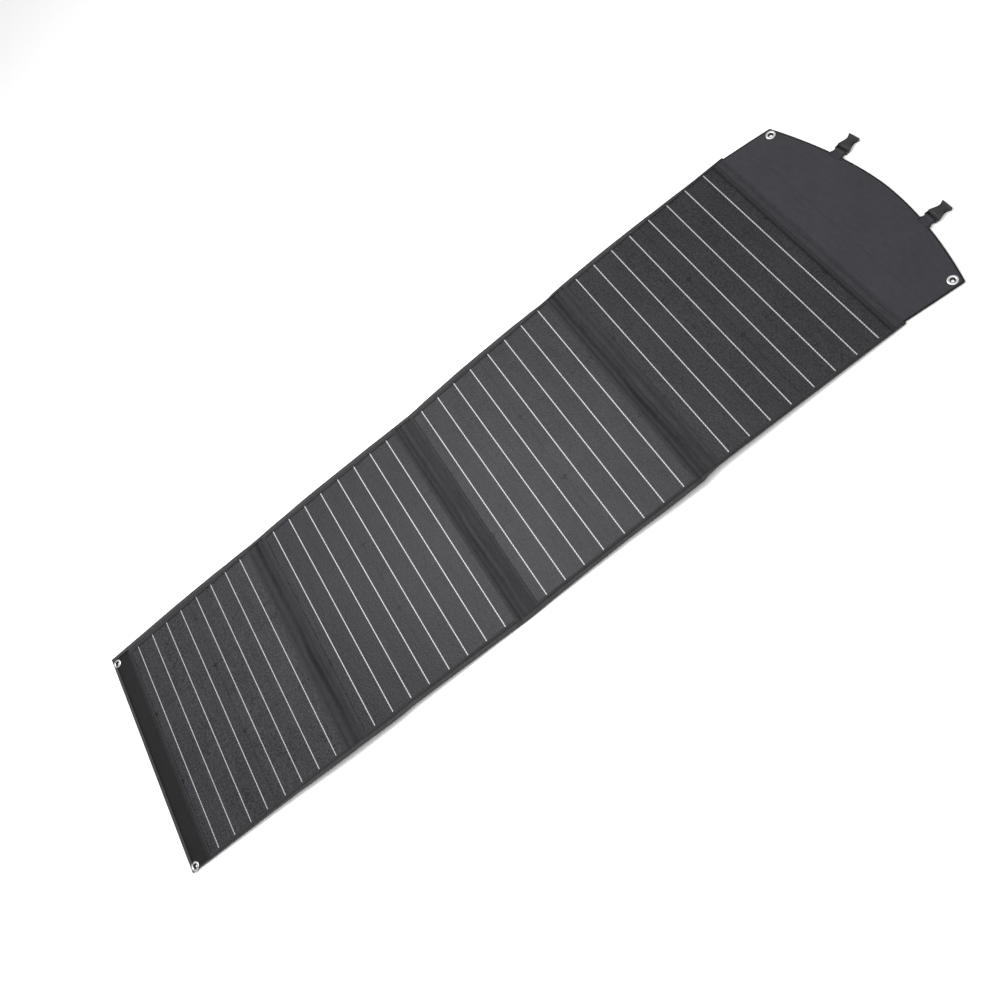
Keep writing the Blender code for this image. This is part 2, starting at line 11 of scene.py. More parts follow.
import bmesh
import bpy
from mathutils import Matrix, Vector, noise


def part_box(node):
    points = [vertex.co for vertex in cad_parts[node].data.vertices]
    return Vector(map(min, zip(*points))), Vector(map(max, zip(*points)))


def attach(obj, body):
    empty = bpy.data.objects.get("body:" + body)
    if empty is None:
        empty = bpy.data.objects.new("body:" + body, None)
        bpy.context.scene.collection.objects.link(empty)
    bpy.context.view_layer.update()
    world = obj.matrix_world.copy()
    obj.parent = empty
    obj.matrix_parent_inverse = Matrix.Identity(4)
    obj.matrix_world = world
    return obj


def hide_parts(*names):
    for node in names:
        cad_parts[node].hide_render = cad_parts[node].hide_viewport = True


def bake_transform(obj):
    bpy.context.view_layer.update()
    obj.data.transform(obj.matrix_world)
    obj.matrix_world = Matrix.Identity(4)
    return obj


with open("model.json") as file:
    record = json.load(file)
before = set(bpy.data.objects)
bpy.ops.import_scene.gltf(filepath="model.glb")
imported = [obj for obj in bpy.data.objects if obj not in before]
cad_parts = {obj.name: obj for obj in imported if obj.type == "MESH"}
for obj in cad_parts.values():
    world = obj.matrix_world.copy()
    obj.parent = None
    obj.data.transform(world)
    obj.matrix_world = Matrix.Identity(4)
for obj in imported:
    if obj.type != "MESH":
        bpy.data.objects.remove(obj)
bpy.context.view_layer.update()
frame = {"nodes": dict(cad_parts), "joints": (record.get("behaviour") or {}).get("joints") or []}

NODES = frame["nodes"]
HINGES = {joint["name"]: Vector(joint["pos_m"]) for joint in frame["joints"]}

# ---- sizes shared with the model
PITCH = 0.3636  # fold to fold
VALLEY = 0.00605  # axis of the first and third folds above a panel's back
RIDGE = -0.0005  # axis of the middle fold
HALF = 0.225  # half the blanket's width
CLOTH_Y = HALF - 0.0008  # half the width of the cloth inside the hems
EDGE = HALF + 0.0008  # where the hems turn
TAIL = PITCH / 2 + 0.0258  # tail edge from the middle of the last panel
WINDOW_X = 0.1582  # half the window in the front facing
WINDOW_Y = 0.2135
SHOULDER_X = 0.1628  # where the facing starts to drop off the stiffener
SHOULDER_Y = 0.2172
POCKET = 0.167  # pocket seam, where facing and fold cloth meet
FACING_TOP = 0.0052
BAND_TOP = 0.0024  # top of the cloth beside the stiffener
BACK_FACE = 0.0003  # outer face of the back cloth over a panel's back
CLOTH = 0.0005  # thicknesses
TAPE = 0.0004
WEB = 0.001
TILT = {4: -1.47, 3: 1.6, 2: -1.6, 1: 1.38}
FOLDS = {1: ("panel_4", "panel_3"), 2: ("panel_3", "panel_2"), 3: ("panel_2", "panel_1")}
CELL = (0.1568, 0.142)
POCKET_FOLD = PITCH / 2 - POCKET  # pocket seam, from the fold's line
SEAM_IN = 0.0012  # stitches from the pocket seam
STITCH = 0.0034  # from one stitch to the next
THREAD_WIDE, THREAD_THICK = 0.0003, 0.00022  # half a stitch's width and thickness
WINDOW_SEAM = (0.1606, 0.2154)  # half the row of stitches round the window
BEYOND_TAIL = TAIL + 0.0006  # where the tail's hem turns
STITCH_END = HALF - 0.01  # where the stitches across the blanket end
GROMMET_HOLE = 0.0051  # radius of the hole in the cloth
HEM_STEP = 0.02
LEAD_HALF = 0.0178  # half a lead's length over its fold
LEAD_HEIGHT = 0.0014
LEAD_THICK = 0.0003
SIDES = (-1, "right"), (1, "left")

BEND_1 = HINGES["flap_bend_1"]
SEAM_X = BEND_1.x - 0.0282
BEND_2 = HINGES["flap_bend_2"]
MID_SPINE = (BEND_1.x + BEND_2.x) / 2
FLAP_LOW, FLAP_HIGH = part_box("flap_lining")[0].z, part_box("flap_cover")[1].z
CORNER_X = BEND_2.x + 0.042  # the flap's corners before it is drawn askew
CORNER_Y = 0.2138
SEAM_Y = 0.2165
FLAP_ARCH = 0.0412
FLAP_DRAWN = 0.115
FLAP_ASKEW = 0.0286
BEND_REACH = 0.007  # fine grid lines on each side of a bend of the flap
BUCKLE_TURN = {"left": 8.0, "right": -1.5}
BLACK = (0.0, 0.0, 0.0)

# how far each side edge strays outward from straight, in millimetres, by place along the blanket
STRAY = {
    1: ((-0.83, 6.5), (-0.65, 5.7), (-0.61, 5.0), (-0.55, 3.4), (-0.49, 1.0), (-0.434, -1.2),
        (-0.37, 1.0), (-0.29, 3.0), (-0.17, 2.5), (-0.068, 1.2), (-0.05, 0.0), (0.0, 1.6),
        (0.07, 2.5), (0.112, 2.0), (0.152, 1.0), (0.192, 0.0), (0.232, -2.0), (0.272, -4.5),
        (0.292, -2.5), (0.32, -1.3), (0.4, -0.5), (0.475, -1.5), (0.515, -3.0), (0.555, -4.0),
        (0.59, -5.4), (0.66, -5.6)),
    -1: ((-0.83, -5.6), (-0.77, -5.0), (-0.65, -4.0), (-0.574, -3.0), (-0.534, -1.5),
         (-0.474, 0.0), (-0.434, 0.6), (-0.35, 1.2), (-0.311, -0.5), (-0.17, 0.0), (-0.07, 1.0),
         (-0.01, -0.5), (0.07, -1.5), (0.13, -2.0), (0.232, -0.5), (0.28, -0.6), (0.294, -3.2),
         (0.315, -5.4), (0.6, -5.4), (0.66, -5.2)),
}


def smooth(value):
    value = min(1.0, max(0.0, value))
    return value * value * (3 - 2 * value)


def spread(low, high, step):
    """Evenly spaced places from low to high, about a step apart."""
    count = max(1, round((high - low) / step))
    return [low + (high - low) * place / count for place in range(count + 1)]


def stepped(start, *stops):
    """Places from a start to each stop in turn, about a step apart on the way to it."""
    places = [start]
    for stop, step in stops:
        places += spread(start, stop, step)[1:]
        start = stop
    return places


def middle(node):
    low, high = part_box(node)
    return (low + high) / 2


def ripple(x, y, size, seed=0.0):
    """Soft unevenness between about -1 and 1, the same on every run."""
    return noise.noise(Vector((x / size, y / size, seed)))


def show(name, data):
    """An object for a mesh, lamp or camera."""
    made = bpy.data.objects.new(name, data)
    bpy.context.scene.collection.objects.link(made)
    return made


def as_mesh(name, made):
    mesh = bpy.data.meshes.new(name)
    made.to_mesh(mesh)
    made.free()
    return mesh


# ---- camera, floor and light
def set_camera():
    data = bpy.data.cameras.new("camera")
    data.sensor_width = 36.0
    data.lens = 30.16
    camera = show("camera", data)
    right = Vector((0.7731, -0.51446, -0.37101))
    up = Vector((0.61895, 0.73973, 0.264))
    back = Vector((0.13863, -0.43374, 0.89031))
    turned = Matrix((right, up, back)).transposed().to_4x4()
    camera.matrix_world = Matrix.Translation((0.197, -0.6475, 1.2771)) @ turned
    bpy.context.scene.camera = camera
    bpy.context.scene.view_settings.view_transform = "Standard"


def set_floor():
    made = bmesh.new()
    bmesh.ops.create_grid(made, x_segments=2, y_segments=2, size=9.0)
    floor = show("studio_floor", as_mesh("studio_floor", made))
    paper = bpy.data.materials.new("white_paper")
    paper.use_nodes = True
    shader = paper.node_tree.nodes["Principled BSDF"]
    shader.inputs["Base Color"].default_value = (0.93, 0.93, 0.93, 1.0)
    shader.inputs["Roughness"].default_value = 0.9
    shader.inputs["Specular IOR Level"].default_value = 0.1
    floor.data.materials.append(paper)


def soft_box(name, place, aim, size, power):
    data = bpy.data.lights.new(name, "AREA")
    data.shape = "RECTANGLE"
    data.size, data.size_y = size
    data.energy = power
    lamp = show(name, data)
    lamp.location = place
    lamp.rotation_euler = (Vector(aim) - Vector(place)).to_track_quat("-Z", "Y").to_euler()


def set_lights():
    world = bpy.data.worlds.new("studio")
    bpy.context.scene.world = world
    world.use_nodes = True
    sky = world.node_tree.nodes["Background"]
    sky.inputs["Color"].default_value = (1.0, 1.0, 1.0, 1.0)
    sky.inputs["Strength"].default_value = 0.7
    soft_box("high_window", (-0.35, 0.95, 1.75), (0.0, 0.05, 0.0), (1.3, 0.7), 16.0)
    soft_box("overhead", (0.2, -0.3, 3.0), (0.0, 0.0, 0.0), (3.0, 3.0), 32.0)
    soft_box("middle", (-0.2, 0.25, 1.2), (-0.12, 0.0, 0.0), (0.5, 0.5), 8.0)


set_camera()
set_floor()
set_lights()


# ---- wiring finishes
def wire(kind, inputs, tree=None, **settings):
    """A shader node with its settings, values and links, in the tree of what it is linked to."""
    linked = [value for value in inputs.values() if isinstance(value, bpy.types.NodeSocket)]
    tree = tree or linked[0].id_data
    made = tree.nodes.new("ShaderNode" + kind)
    for name, value in settings.items():
        setattr(made, name, value)
    for name, value in inputs.items():
        if isinstance(value, bpy.types.NodeSocket):
            tree.links.new(value, made.inputs[name])
        else:
            made.inputs[name].default_value = value
    return made


def new_finish(name, roughness, metallic=0.0, **constants):
    """A material whose even values are set on the shader itself."""
    finish = bpy.data.materials.new(name)
    finish.use_nodes = True
    shader = finish.node_tree.nodes["Principled BSDF"]
    shader.inputs["Roughness"].default_value = roughness
    shader.inputs["Metallic"].default_value = metallic
    for socket, value in constants.items():
        shader.inputs[socket.replace("_", " ")].default_value = value
    return finish, finish.node_tree


def dress(finish, tint, roughness, normal):
    """Link a finish's patterns to its shader."""
    shader = finish.node_tree.nodes["Principled BSDF"]
    for socket, pattern in (("Base Color", tint), ("Roughness", roughness), ("Normal", normal)):
        finish.node_tree.links.new(pattern, shader.inputs[socket])
    return finish


def cloth_place(tree):
    """Flat cloth coordinates in metres, along and across the piece."""
    return wire("UVMap", {}, tree, uv_map="flat").outputs["UV"]


def object_place(tree, centre=(0.0, 0.0, 0.0)):
    place = wire("TexCoord", {}, tree).outputs["Object"]
    shifted = wire("Mapping", {"Vector": place, "Location": [-c for c in centre]})
    return shifted.outputs["Vector"]


def bands(place, period, turn=0.0, waver=0.0):
    """Even stripes, 0 to 1, their period in metres and their direction in degrees."""
    turned = wire("Mapping", {
        "Vector": place, "Rotation": (0.0, 0.0, math.radians(turn))})
    wave = wire("TexWave", {
        "Vector": turned.outputs["Vector"], "Scale": math.pi / 10 / period,
        "Distortion": waver, "Detail": 1.0, "Detail Scale": 0.6})
    return wave.outputs["Fac"]


def mottle(place, size, detail=2.0, stretch=(1.0, 1.0, 1.0), crisp=0.5):
    """Cloudy unevenness, 0 to 1, with features about a size across; lower crisp, more contrast."""
    scaled = wire("Mapping", {"Vector": place, "Scale": stretch})
    cloud = wire("TexNoise", {
        "Vector": scaled.outputs["Vector"], "Scale": 1.0 / size, "Detail": detail})
    made = wire("MapRange", {
        "Value": cloud.outputs["Fac"], "From Min": 0.5 - crisp, "From Max": 0.5 + crisp})
    return made.outputs["Result"]


def reckon(operation, first, second=0.0, third=0.0):
    made = wire("Math", {0: first, 1: second, 2: third}, operation=operation)
    return made.outputs[0]


def weigh(value, by, added):
    """A pattern times a weight, and another added."""
    return reckon("MULTIPLY_ADD", value, by, added)


def blend_tint(share, dark, light):
    made = wire("Mix", {0: share, 6: (*dark, 1.0), 7: (*light, 1.0)},
                data_type="RGBA")
    return made.outputs[2]


def ranged(value, low, high):
    """A 0 to 1 pattern moved to a range."""
    made = wire("MapRange", {
        "Value": value, "To Min": low, "To Max": high})
    return made.outputs["Result"]


def relief(height, depth, under=None):
    inputs = {"Height": height, "Distance": depth, "Strength": 1.0}
    if under is not None:
        inputs["Normal"] = under
    return wire("Bump", inputs).outputs["Normal"]


def away_from(value, place):
    return reckon("ABSOLUTE", reckon("SUBTRACT", value, place))


def near_line(value, place, reach):
    """1 on a line at a place, falling to 0 a reach away."""
    made = wire("MapRange", {
        "Value": away_from(value, place), "From Min": 0.0, "From Max": reach,
        "To Min": 1.0, "To Max": 0.0}, interpolation_type="SMOOTHSTEP")
    return made.outputs["Result"]


def woven(name, dark, light, roughness, thread, grain, depth=0.00018, sheen=0.06, lines=()):
    """Twill cloth: diagonal ribs of thread over a finer cross weave, slubs and faint uneven
    patches.

    Lines darken or lighten the cloth along or across it: over creases and some edges they are
    painted shade and painted highlight, elsewhere darker or lighter seams and tape edges. Each
    gives which way it is counted, where it lies, how far it reaches, and how much lighter or darker
    it makes the cloth.
    """
    finish, tree = new_finish(
        name, roughness, Sheen_Weight=sheen, Sheen_Roughness=0.5, Specular_IOR_Level=0.16)
    place = cloth_place(tree)
    rib = bands(place, thread, 38.0, 0.5)
    weft = bands(place, thread * 0.62, -52.0, 0.3)
    weave = reckon("MULTIPLY", ranged(rib, 0.35, 1.0), ranged(weft, 0.6, 1.0))
    slub = mottle(place, grain, 3.0, (1.0, 0.35, 1.0), 0.35)
    patch = mottle(place, 0.06, 2.0)
    share = weigh(weave, 0.45, weigh(
        slub, 0.45, ranged(patch, -0.15, 0.15)))
    axes = wire("SeparateXYZ", {"Vector": place})
    waver = ranged(mottle(place, 0.11, 1.0, (0.3, 1.0, 1.0)), -0.006, 0.006)
    fade = mottle(place, 0.14, 1.0, (0.5, 1.0, 1.0), 0.22)
    for way, at, reach, amount in lines:
        # a crease line wavers and fades along the cloth: painted shade where it darkens, painted
        # highlight where it lightens
        if way == "crease":
            value = reckon("ADD", axes.outputs["X"], waver)
            amount = reckon("MULTIPLY", ranged(fade, 0.35, 1.35), amount)
        else:
            value = axes.outputs[way]
        share = weigh(near_line(value, at, reach), amount, share)
    return dress(finish, blend_tint(share, dark, light),
                 ranged(slub, roughness - 0.08, roughness + 0.1),
                 relief(weave, depth, relief(slub, depth * 1.4)))


def ribbed(name, dark, light, roughness, rib, depth=0.00022):
    """Woven tape or webbing: ribs across it and a fine herringbone between them."""
    finish, tree = new_finish(
        name, roughness, Sheen_Weight=0.08, Sheen_Roughness=0.45, Specular_IOR_Level=0.2)
    place = cloth_place(tree)
    across = bands(place, rib, 0.0, 0.2)
    slant = bands(place, rib * 0.7, 55.0, 0.2)
    along = bands(place, rib * 1.4, 90.0, 0.2)
    weave = reckon("MULTIPLY", ranged(across, 0.3, 1.0), ranged(slant, 0.6, 1.0))
    weave = reckon("MULTIPLY", weave, ranged(along, 0.7, 1.0))
    fuzz = mottle(place, 0.003, 3.0)
    share = weigh(weave, 0.6, ranged(fuzz, 0.0, 0.4))
    return dress(finish, blend_tint(share, dark, light),
                 ranged(fuzz, roughness - 0.1, roughness + 0.1),
                 relief(weave, depth))


def cell_film(name, centre, light):
    """Dark cells under an embossed film: fine fingers, gaps, clipped corners and a fabric grain."""
    finish, tree = new_finish(
        name, 0.45, Specular_IOR_Level=0.25, Coat_Weight=0.05, Coat_Roughness=0.42)
    place = object_place(tree, centre)
    axes = wire("SeparateXYZ", {"Vector": place})
    x, y = axes.outputs["X"], axes.outputs["Y"]
    emboss = mottle(place, 0.0028, 2.0, (1.0, 0.8, 1.0), 0.24)
    pebble = mottle(place, 0.011, 2.0, (1.0, 0.35, 1.0), 0.5)
    cloud = mottle(place, 0.085, 2.0)
    finger = bands(place, 0.0013, 90.0)
    twill = bands(place, 0.0019, 40.0, 0.6)
    streak = mottle(place, 0.006, 2.0, (1.0, 0.06, 1.0), 0.3)
    share = weigh(emboss, 0.7, weigh(
        finger, 0.14, ranged(pebble, -0.12, 0.14)))
    share = reckon("ADD", share, ranged(streak, -0.07, 0.07))
    share = reckon("ADD", share, ranged(cloud, -0.16, 0.16))
    gaps, notches = near_line(x, 0.0, 0.0016), 0.0
    for row in (-CELL[1] / 2, CELL[1] / 2):
        gaps = reckon("MAXIMUM", gaps, near_line(y, row, 0.0011))
        for corner in (-CELL[0] - 0.0014, 0.0, CELL[0] + 0.0014):
            reach = reckon("ADD", away_from(x, corner), away_from(y, row))
            notches = reckon("MAXIMUM", notches, reckon("LESS_THAN", reach, 0.0058))
    lowered = weigh(gaps, -0.3, share)
    lowered = weigh(notches, -0.32, lowered)
    coarse = relief(weigh(pebble, 0.6, emboss), 0.0004)
    return dress(finish, blend_tint(lowered, BLACK, light),
                 ranged(emboss, 0.38, 0.58), relief(twill, 0.0001, coarse))


def tinned_ribbon(name):
    """Tinned copper ribbon with solder ripples along it."""
    finish, tree = new_finish(name, 0.6, 0.35)
    place = object_place(tree)
    pools = mottle(place, 0.0045, 3.0, (1.0, 0.6, 1.0))
    grain = bands(place, 0.004, 52.0, 1.2)
    share = weigh(grain, 0.45, ranged(pools, 0.0, 0.55))
    return dress(finish, blend_tint(share, (0.14, 0.14, 0.14), (0.6, 0.6, 0.6)),
                 ranged(pools, 0.5, 0.7), relief(share, 0.00012))


def sheet_metal(name, tint, roughness):
    """Plated metal with fine handling marks."""
    finish, tree = new_finish(name, roughness, 1.0)
    place = object_place(tree)
    haze = mottle(place, 0.003, 4.0)
    scratch = mottle(place, 0.0006, 3.0, (1.0, 0.2, 1.0))
    darker = [part * 0.72 for part in tint]
    return dress(finish, blend_tint(haze, darker, tint),
                 ranged(scratch, roughness - 0.08, roughness + 0.14),
                 relief(scratch, 0.00002))


def moulded(name, dark, light, roughness, grain=0.0007):
    """Moulded plastic: spark-eroded grain, rubbed a little smoother in patches."""
    finish, tree = new_finish(name, roughness, Specular_IOR_Level=0.22)
    place = object_place(tree)
    stipple = mottle(place, grain, 3.0)
    rubbed = mottle(place, 0.01, 2.0)
    share = weigh(stipple, 0.5, ranged(rubbed, 0.0, 0.5))
    return dress(finish, blend_tint(share, dark, light),
                 ranged(rubbed, roughness - 0.1, roughness + 0.12),
                 relief(stipple, 0.00005))


def spun_thread(name):
    """Dull twisted thread."""
    finish, tree = new_finish(name, 0.6, Specular_IOR_Level=0.35, Sheen_Weight=0.2)
    place = object_place(tree)
    fuzz = mottle(place, 0.0005, 2.0)
    return dress(finish, blend_tint(fuzz, (0.012, 0.012, 0.014), (0.075, 0.076, 0.082)),
                 ranged(fuzz, 0.5, 0.75),
                 relief(bands(place, 0.0005, 30.0), 0.00005))


def pressed_board(name):
    """Fibre board with flecks."""
    finish, tree = new_finish(name, 0.75)
    place = object_place(tree)
    fleck = mottle(place, 0.0025, 4.0, (1.0, 0.3, 1.0))
    return dress(finish, blend_tint(fleck, (0.34, 0.32, 0.27), (0.62, 0.59, 0.52)),
                 ranged(fleck, 0.65, 0.85), relief(fleck, 0.0001))


# the front cloth's dark and light tints, roughness, thread and grain
FRONT = (0.006, 0.006, 0.007), (0.044, 0.043, 0.049), 0.72, 0.0011, 0.004
FACING_CLOTH = {
    4: woven("flap_side_facing", *FRONT, lines=(("X", 0.1598, 0.0034, -0.75),)),
    3: woven("front_cloth", *FRONT),
    # on the tail side: a painted highlight along the facing's edge, and painted shade over the drop
    # towards the tail
    1: woven("tail_side_facing", *FRONT, lines=(
        ("X", -0.1586, 0.0016, 0.35), ("X", -0.166, 0.009, -0.75))),
}
FACING_CLOTH[2] = FACING_CLOTH[3]
SEAM_CLOTH = woven("seam_cloth", (0.01, 0.0098, 0.012), (0.047, 0.0455, 0.054), 0.7, 0.001,
                   0.005, 0.00012,
                   lines=(("X", 0.1667, 0.0022, -0.35), ("X", 0.1768, 0.0022, -0.35)))
# The tail's cloth is the front cloth made far darker: painted shade for the light falling off
# towards the tail end.
TAIL_CLOTH_PAINTED_SHADE = woven("tail_cloth_painted_shade", (0.002, 0.002, 0.002), (0.017, 0.017, 0.019), 0.8, 0.0011,
                   0.004)
# Painted shade and painted highlight over each fold: crease lines that darken the cloth in the
# creases' hollows and lighten it on some ridges.
FOLD_CREASE_SHADE_AND_HIGHLIGHT = {
    1: (("crease", -0.006, 0.007, -0.38), ("crease", 0.003, 0.0026, -0.16),
        ("crease", 0.01, 0.005, 0.12)),
    2: (("crease", -0.0075, 0.005, -0.22), ("crease", 0.0065, 0.006, -0.12),
        ("crease", -0.0005, 0.003, 0.22)),
    3: (("crease", 0.001, 0.009, -0.42), ("crease", 0.012, 0.005, -0.18)),
}
FOLD_CLOTH = {number: woven(f"fold_cloth_{number}", *FRONT, lines=lines)
              for number, lines in FOLD_CREASE_SHADE_AND_HIGHLIGHT.items()}
BACK_CLOTH = woven("back_cloth", (0.006, 0.006, 0.007), (0.034, 0.035, 0.038), 0.78, 0.0012,
                   0.005)
FLAP_CLOTH = woven("flap_cloth", (0.02, 0.0193, 0.0235), (0.044, 0.0425, 0.051), 0.66, 0.0009,
                   0.006, 0.00008)
# the hem tape darkens where it turns under the edge, painted shade, and along its inner top edge
HEM_CLOTH = woven("hem_cloth", (0.01, 0.01, 0.01), (0.072, 0.071, 0.071), 0.74, 0.0011, 0.003,
                  lines=(("Y", 0.0108, 0.0022, -0.6), ("Y", 0.0004, 0.0012, -0.5)))
TAB_CLOTH = woven("tab_cloth", (0.012, 0.0118, 0.014), (0.046, 0.0445, 0.053), 0.7, 0.001, 0.003,
                  0.00014, lines=(("X", 0.0124, 0.0016, 0.45), ("Y", 0.0096, 0.002, -0.6),
                                  ("Y", -0.0096, 0.002, -0.6)))
EDGE_TAPE = woven("edge_tape", (0.003, 0.003, 0.003), (0.014, 0.014, 0.015), 0.75, 0.0008, 0.003)
WEBBING = ribbed("webbing", (0.008, 0.008, 0.009), (0.05, 0.051, 0.054), 0.75, 0.0015, 0.00035)
THREAD = spun_thread("thread")
# the grommets' barrels are dark metal: painted shade inside the bore
BARREL_PAINTED_SHADE = sheet_metal("grommet_barrel_painted_shade", (0.1, 0.1, 0.1), 0.5)
RIBBON = tinned_ribbon("tinned_ribbon")
COPPER = sheet_metal("copper_lead", (0.8, 0.42, 0.26), 0.35)
STEEL = sheet_metal("grommet_metal", (0.8, 0.8, 0.81), 0.28)
BUCKLE = moulded("buckle_plastic", (0.003, 0.003, 0.003), (0.048, 0.048, 0.05), 0.42)
HOUSING = moulded("box_plastic", (0.008, 0.008, 0.009), (0.026, 0.026, 0.028), 0.48, 0.0009)
BOARD = pressed_board("stiff_board")


# ---- where panels lie
def panel_frame(number):
    fold, side, height = {4: ("fold_1", -1, VALLEY), 3: ("fold_1", 1, VALLEY),
                          2: ("fold_2", 1, RIDGE), 1: ("fold_3", 1, VALLEY)}[number]
    turned = Matrix.Rotation(-math.radians(TILT[number]), 4, "Y")
    return (Matrix.Translation(HINGES[fold]) @ turned
            @ Matrix.Translation((-side * PITCH / 2, 0.0, -height)))


PANEL = {number: panel_frame(number) for number in TILT}


def hem_shift(side, x):
    """How far the blanket's side edge strays outward from straight, at a place along it."""
    for (a, low), (b, high) in zip(STRAY[side], STRAY[side][1:]):
        if a <= x <= b:
            return 0.001 * (low + (high - low) * smooth((x - a) / (b - a)))
    return 0.0


def eased(point):
    """Move a point near a side edge with the edge's wander, clear of the stiffener."""
    side = 1 if point.y > 0 else -1
    away = side * point.y
    shift = hem_shift(side, point.x)
    if shift > 0:
        away += shift * smooth((away - 0.214) / 0.0036)
    elif away > SHOULDER_Y:
        away += shift * min(1.3, (away - SHOULDER_Y) / (HALF - SHOULDER_Y))
    return Vector((point.x, side * away, point.z))


def on_panel(number):
    return lambda place: eased(PANEL[number] @ place)


def over_fold(number):
    """Places measured from a fold's line, + towards the flap, at heights over the backs."""
    near, far = FOLDS[number]
    near, far = PANEL[int(near[-1])], PANEL[int(far[-1])]

    def put(place):
        share = smooth((place.x + POCKET_FOLD) / (2 * POCKET_FOLD))
        ahead = near @ Vector((place.x - PITCH / 2, place.y, place.z))
        behind = far @ Vector((place.x + PITCH / 2, place.y, place.z))
        return eased(behind.lerp(ahead, share))
    return put


# ---- building pieces
def stand_in(piece, body, *nodes):
    """A piece that rides a body in place of its nodes."""
    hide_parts(*nodes)
    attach(piece, body)


def map_flat(made, place):
    """Set the flat cloth coordinates of each corner by where its vertex is."""
    flat = made.loops.layers.uv["flat"]
    for face in made.faces:
        for loop in face.loops:
            loop[flat].uv = place(loop.vert.co)


def grid(xs, ys):
    """A flat grid with its lines at the given places, its UV map in metres."""
    made = bmesh.new()
    bmesh.ops.create_grid(made, x_segments=len(xs) - 1, y_segments=len(ys) - 1, size=0.5)
    for vertex in made.verts:
        column = round((vertex.co.x + 0.5) * (len(xs) - 1))
        row = round((vertex.co.y + 0.5) * (len(ys) - 1))
        vertex.co = (xs[column], ys[row], 0.0)
    made.loops.layers.uv.new("flat")
    map_flat(made, lambda place: place.xy)
    return made


def finish_piece(name, made, finish, sharp=35.0):
    mesh = as_mesh(name, made)
    mesh.materials.append(finish)
    mesh.shade_smooth()
    mesh.set_sharp_from_angle(angle=math.radians(sharp))
    shown = show(name, mesh)
    return shown


def thicken(shown, depth, offset=-1.0):
    wall = shown.modifiers.new("cloth_depth", "SOLIDIFY")
    wall.thickness = depth
    wall.offset = offset
    wall.use_even_offset = False


def settle(shown):
    """Apply what shapes a piece, so that its mesh is final."""
    graph = bpy.context.evaluated_depsgraph_get()
    final = bpy.data.meshes.new_from_object(shown.evaluated_get(graph))
    shown.modifiers.clear()
    old = shown.data
    shown.data = final
    final.name = shown.name
    bpy.data.meshes.remove(old)


def punch(shown, eyelet):
    """A round hole straight through a thickened piece, along Z, for an eyelet."""
    made = bmesh.new()
    bmesh.ops.create_cone(made, cap_ends=True, segments=40, radius1=GROMMET_HOLE,
                          radius2=GROMMET_HOLE, depth=0.03)
    bmesh.ops.translate(made, verts=made.verts, vec=middle(eyelet))
    tool = show("punch", as_mesh("punch", made))
    hole = shown.modifiers.new("hole", "BOOLEAN")
    hole.operation = "DIFFERENCE"
    hole.solver = "EXACT"
    hole.object = tool
    settle(shown)
    bpy.data.objects.remove(tool)


def lay(made, height, put):
    """Give each point its height over the panel's back and lay it in place."""
    for vertex in made.verts:
        raised = Vector((vertex.co.x, vertex.co.y, height(vertex.co.x, vertex.co.y)))
        vertex.co = put(raised)


def bend_over(shown):
    """Fix a piece, already laid over a fold, in place: its placement goes into its mesh."""
    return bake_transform(shown)


def cloth(name, made, height, put, finish):
    """A front cloth, or a back one with its faces turned down."""
    front = finish is not BACK_CLOTH
    if not front:
        bmesh.ops.reverse_faces(made, faces=made.faces)
    lay(made, height, put)
    shown = finish_piece(name, made, finish)
    thicken(shown, CLOTH)
    return shown


# ---- cloth heights
def facing_height(x, y):
    """Top of the facing: over the film's edge, down beside the stiffener."""
    drop = max(smooth((abs(x) - SHOULDER_X) / (POCKET - SHOULDER_X)),
               smooth((abs(y) - SHOULDER_Y) / 0.003))
    rim = 0.00018 * ripple(x, y, 0.021, 3.0) * (1 - drop)
    return FACING_TOP + (BAND_TOP - FACING_TOP) * drop + rim


def crease_height(number):
    """Soft lengthwise creases in the cloth over a fold."""
    seed = 11.0 * number

    def height(x, y):
        wander = 0.003 * ripple(0.0, y, 0.11, seed)
        calm = smooth((POCKET_FOLD - abs(x)) / 0.004) * smooth((HALF - abs(y)) / 0.011)
        swell = 0.0
        for place, width, rise in ((-0.0112, 0.0024, 0.5), (-0.0062, 0.0032, -1.0),
                                   (-0.0008, 0.0024, 0.7), (0.0036, 0.0024, -0.7),
                                   (0.0084, 0.0026, 0.7), (0.0124, 0.0018, -0.4)):
            strength = 1 + 0.9 * ripple(place * 50, y, 0.15, seed + 2)
            swell += rise * strength * math.exp(-((x - place - wander) / width) ** 2)
        return BAND_TOP + calm * (0.00105 * swell + 0.0009)
    return height


def even_back(x, y):
    return BACK_FACE


def back_height(x, y):
    """Underside of the back cloth, slack between its seams."""
    inside = smooth((HALF - 0.006 - abs(y)) / 0.02) * smooth((POCKET - abs(x)) / 0.02)
    slack = 0.00035 * ripple(x, y, 0.055, 5.0) + 0.0002 * ripple(x, y, 0.02, 6.0)
    return BACK_FACE + inside * slack


# ---- cloth of the panels
def build_facing(number):
    """Front facing of a panel: four strips sewn round the window over the cells."""
    made = grid(stepped(-POCKET, (-WINDOW_X, 0.0011), (WINDOW_X, 0.012), (POCKET, 0.0011)),
                stepped(-CLOTH_Y, (-WINDOW_Y, 0.001), (WINDOW_Y, 0.01), (CLOTH_Y, 0.001)))
    window = [face for face in made.faces
              if abs(face.calc_center_median().x) < WINDOW_X
              and abs(face.calc_center_median().y) < WINDOW_Y]
    bmesh.ops.delete(made, geom=window, context="FACES")
    facing = cloth(f"facing_panel_{number}", made, facing_height, on_panel(number),
                   FACING_CLOTH[number])
    stand_in(facing, f"panel_{number}", f"panel_{number}_front_border")
    return facing


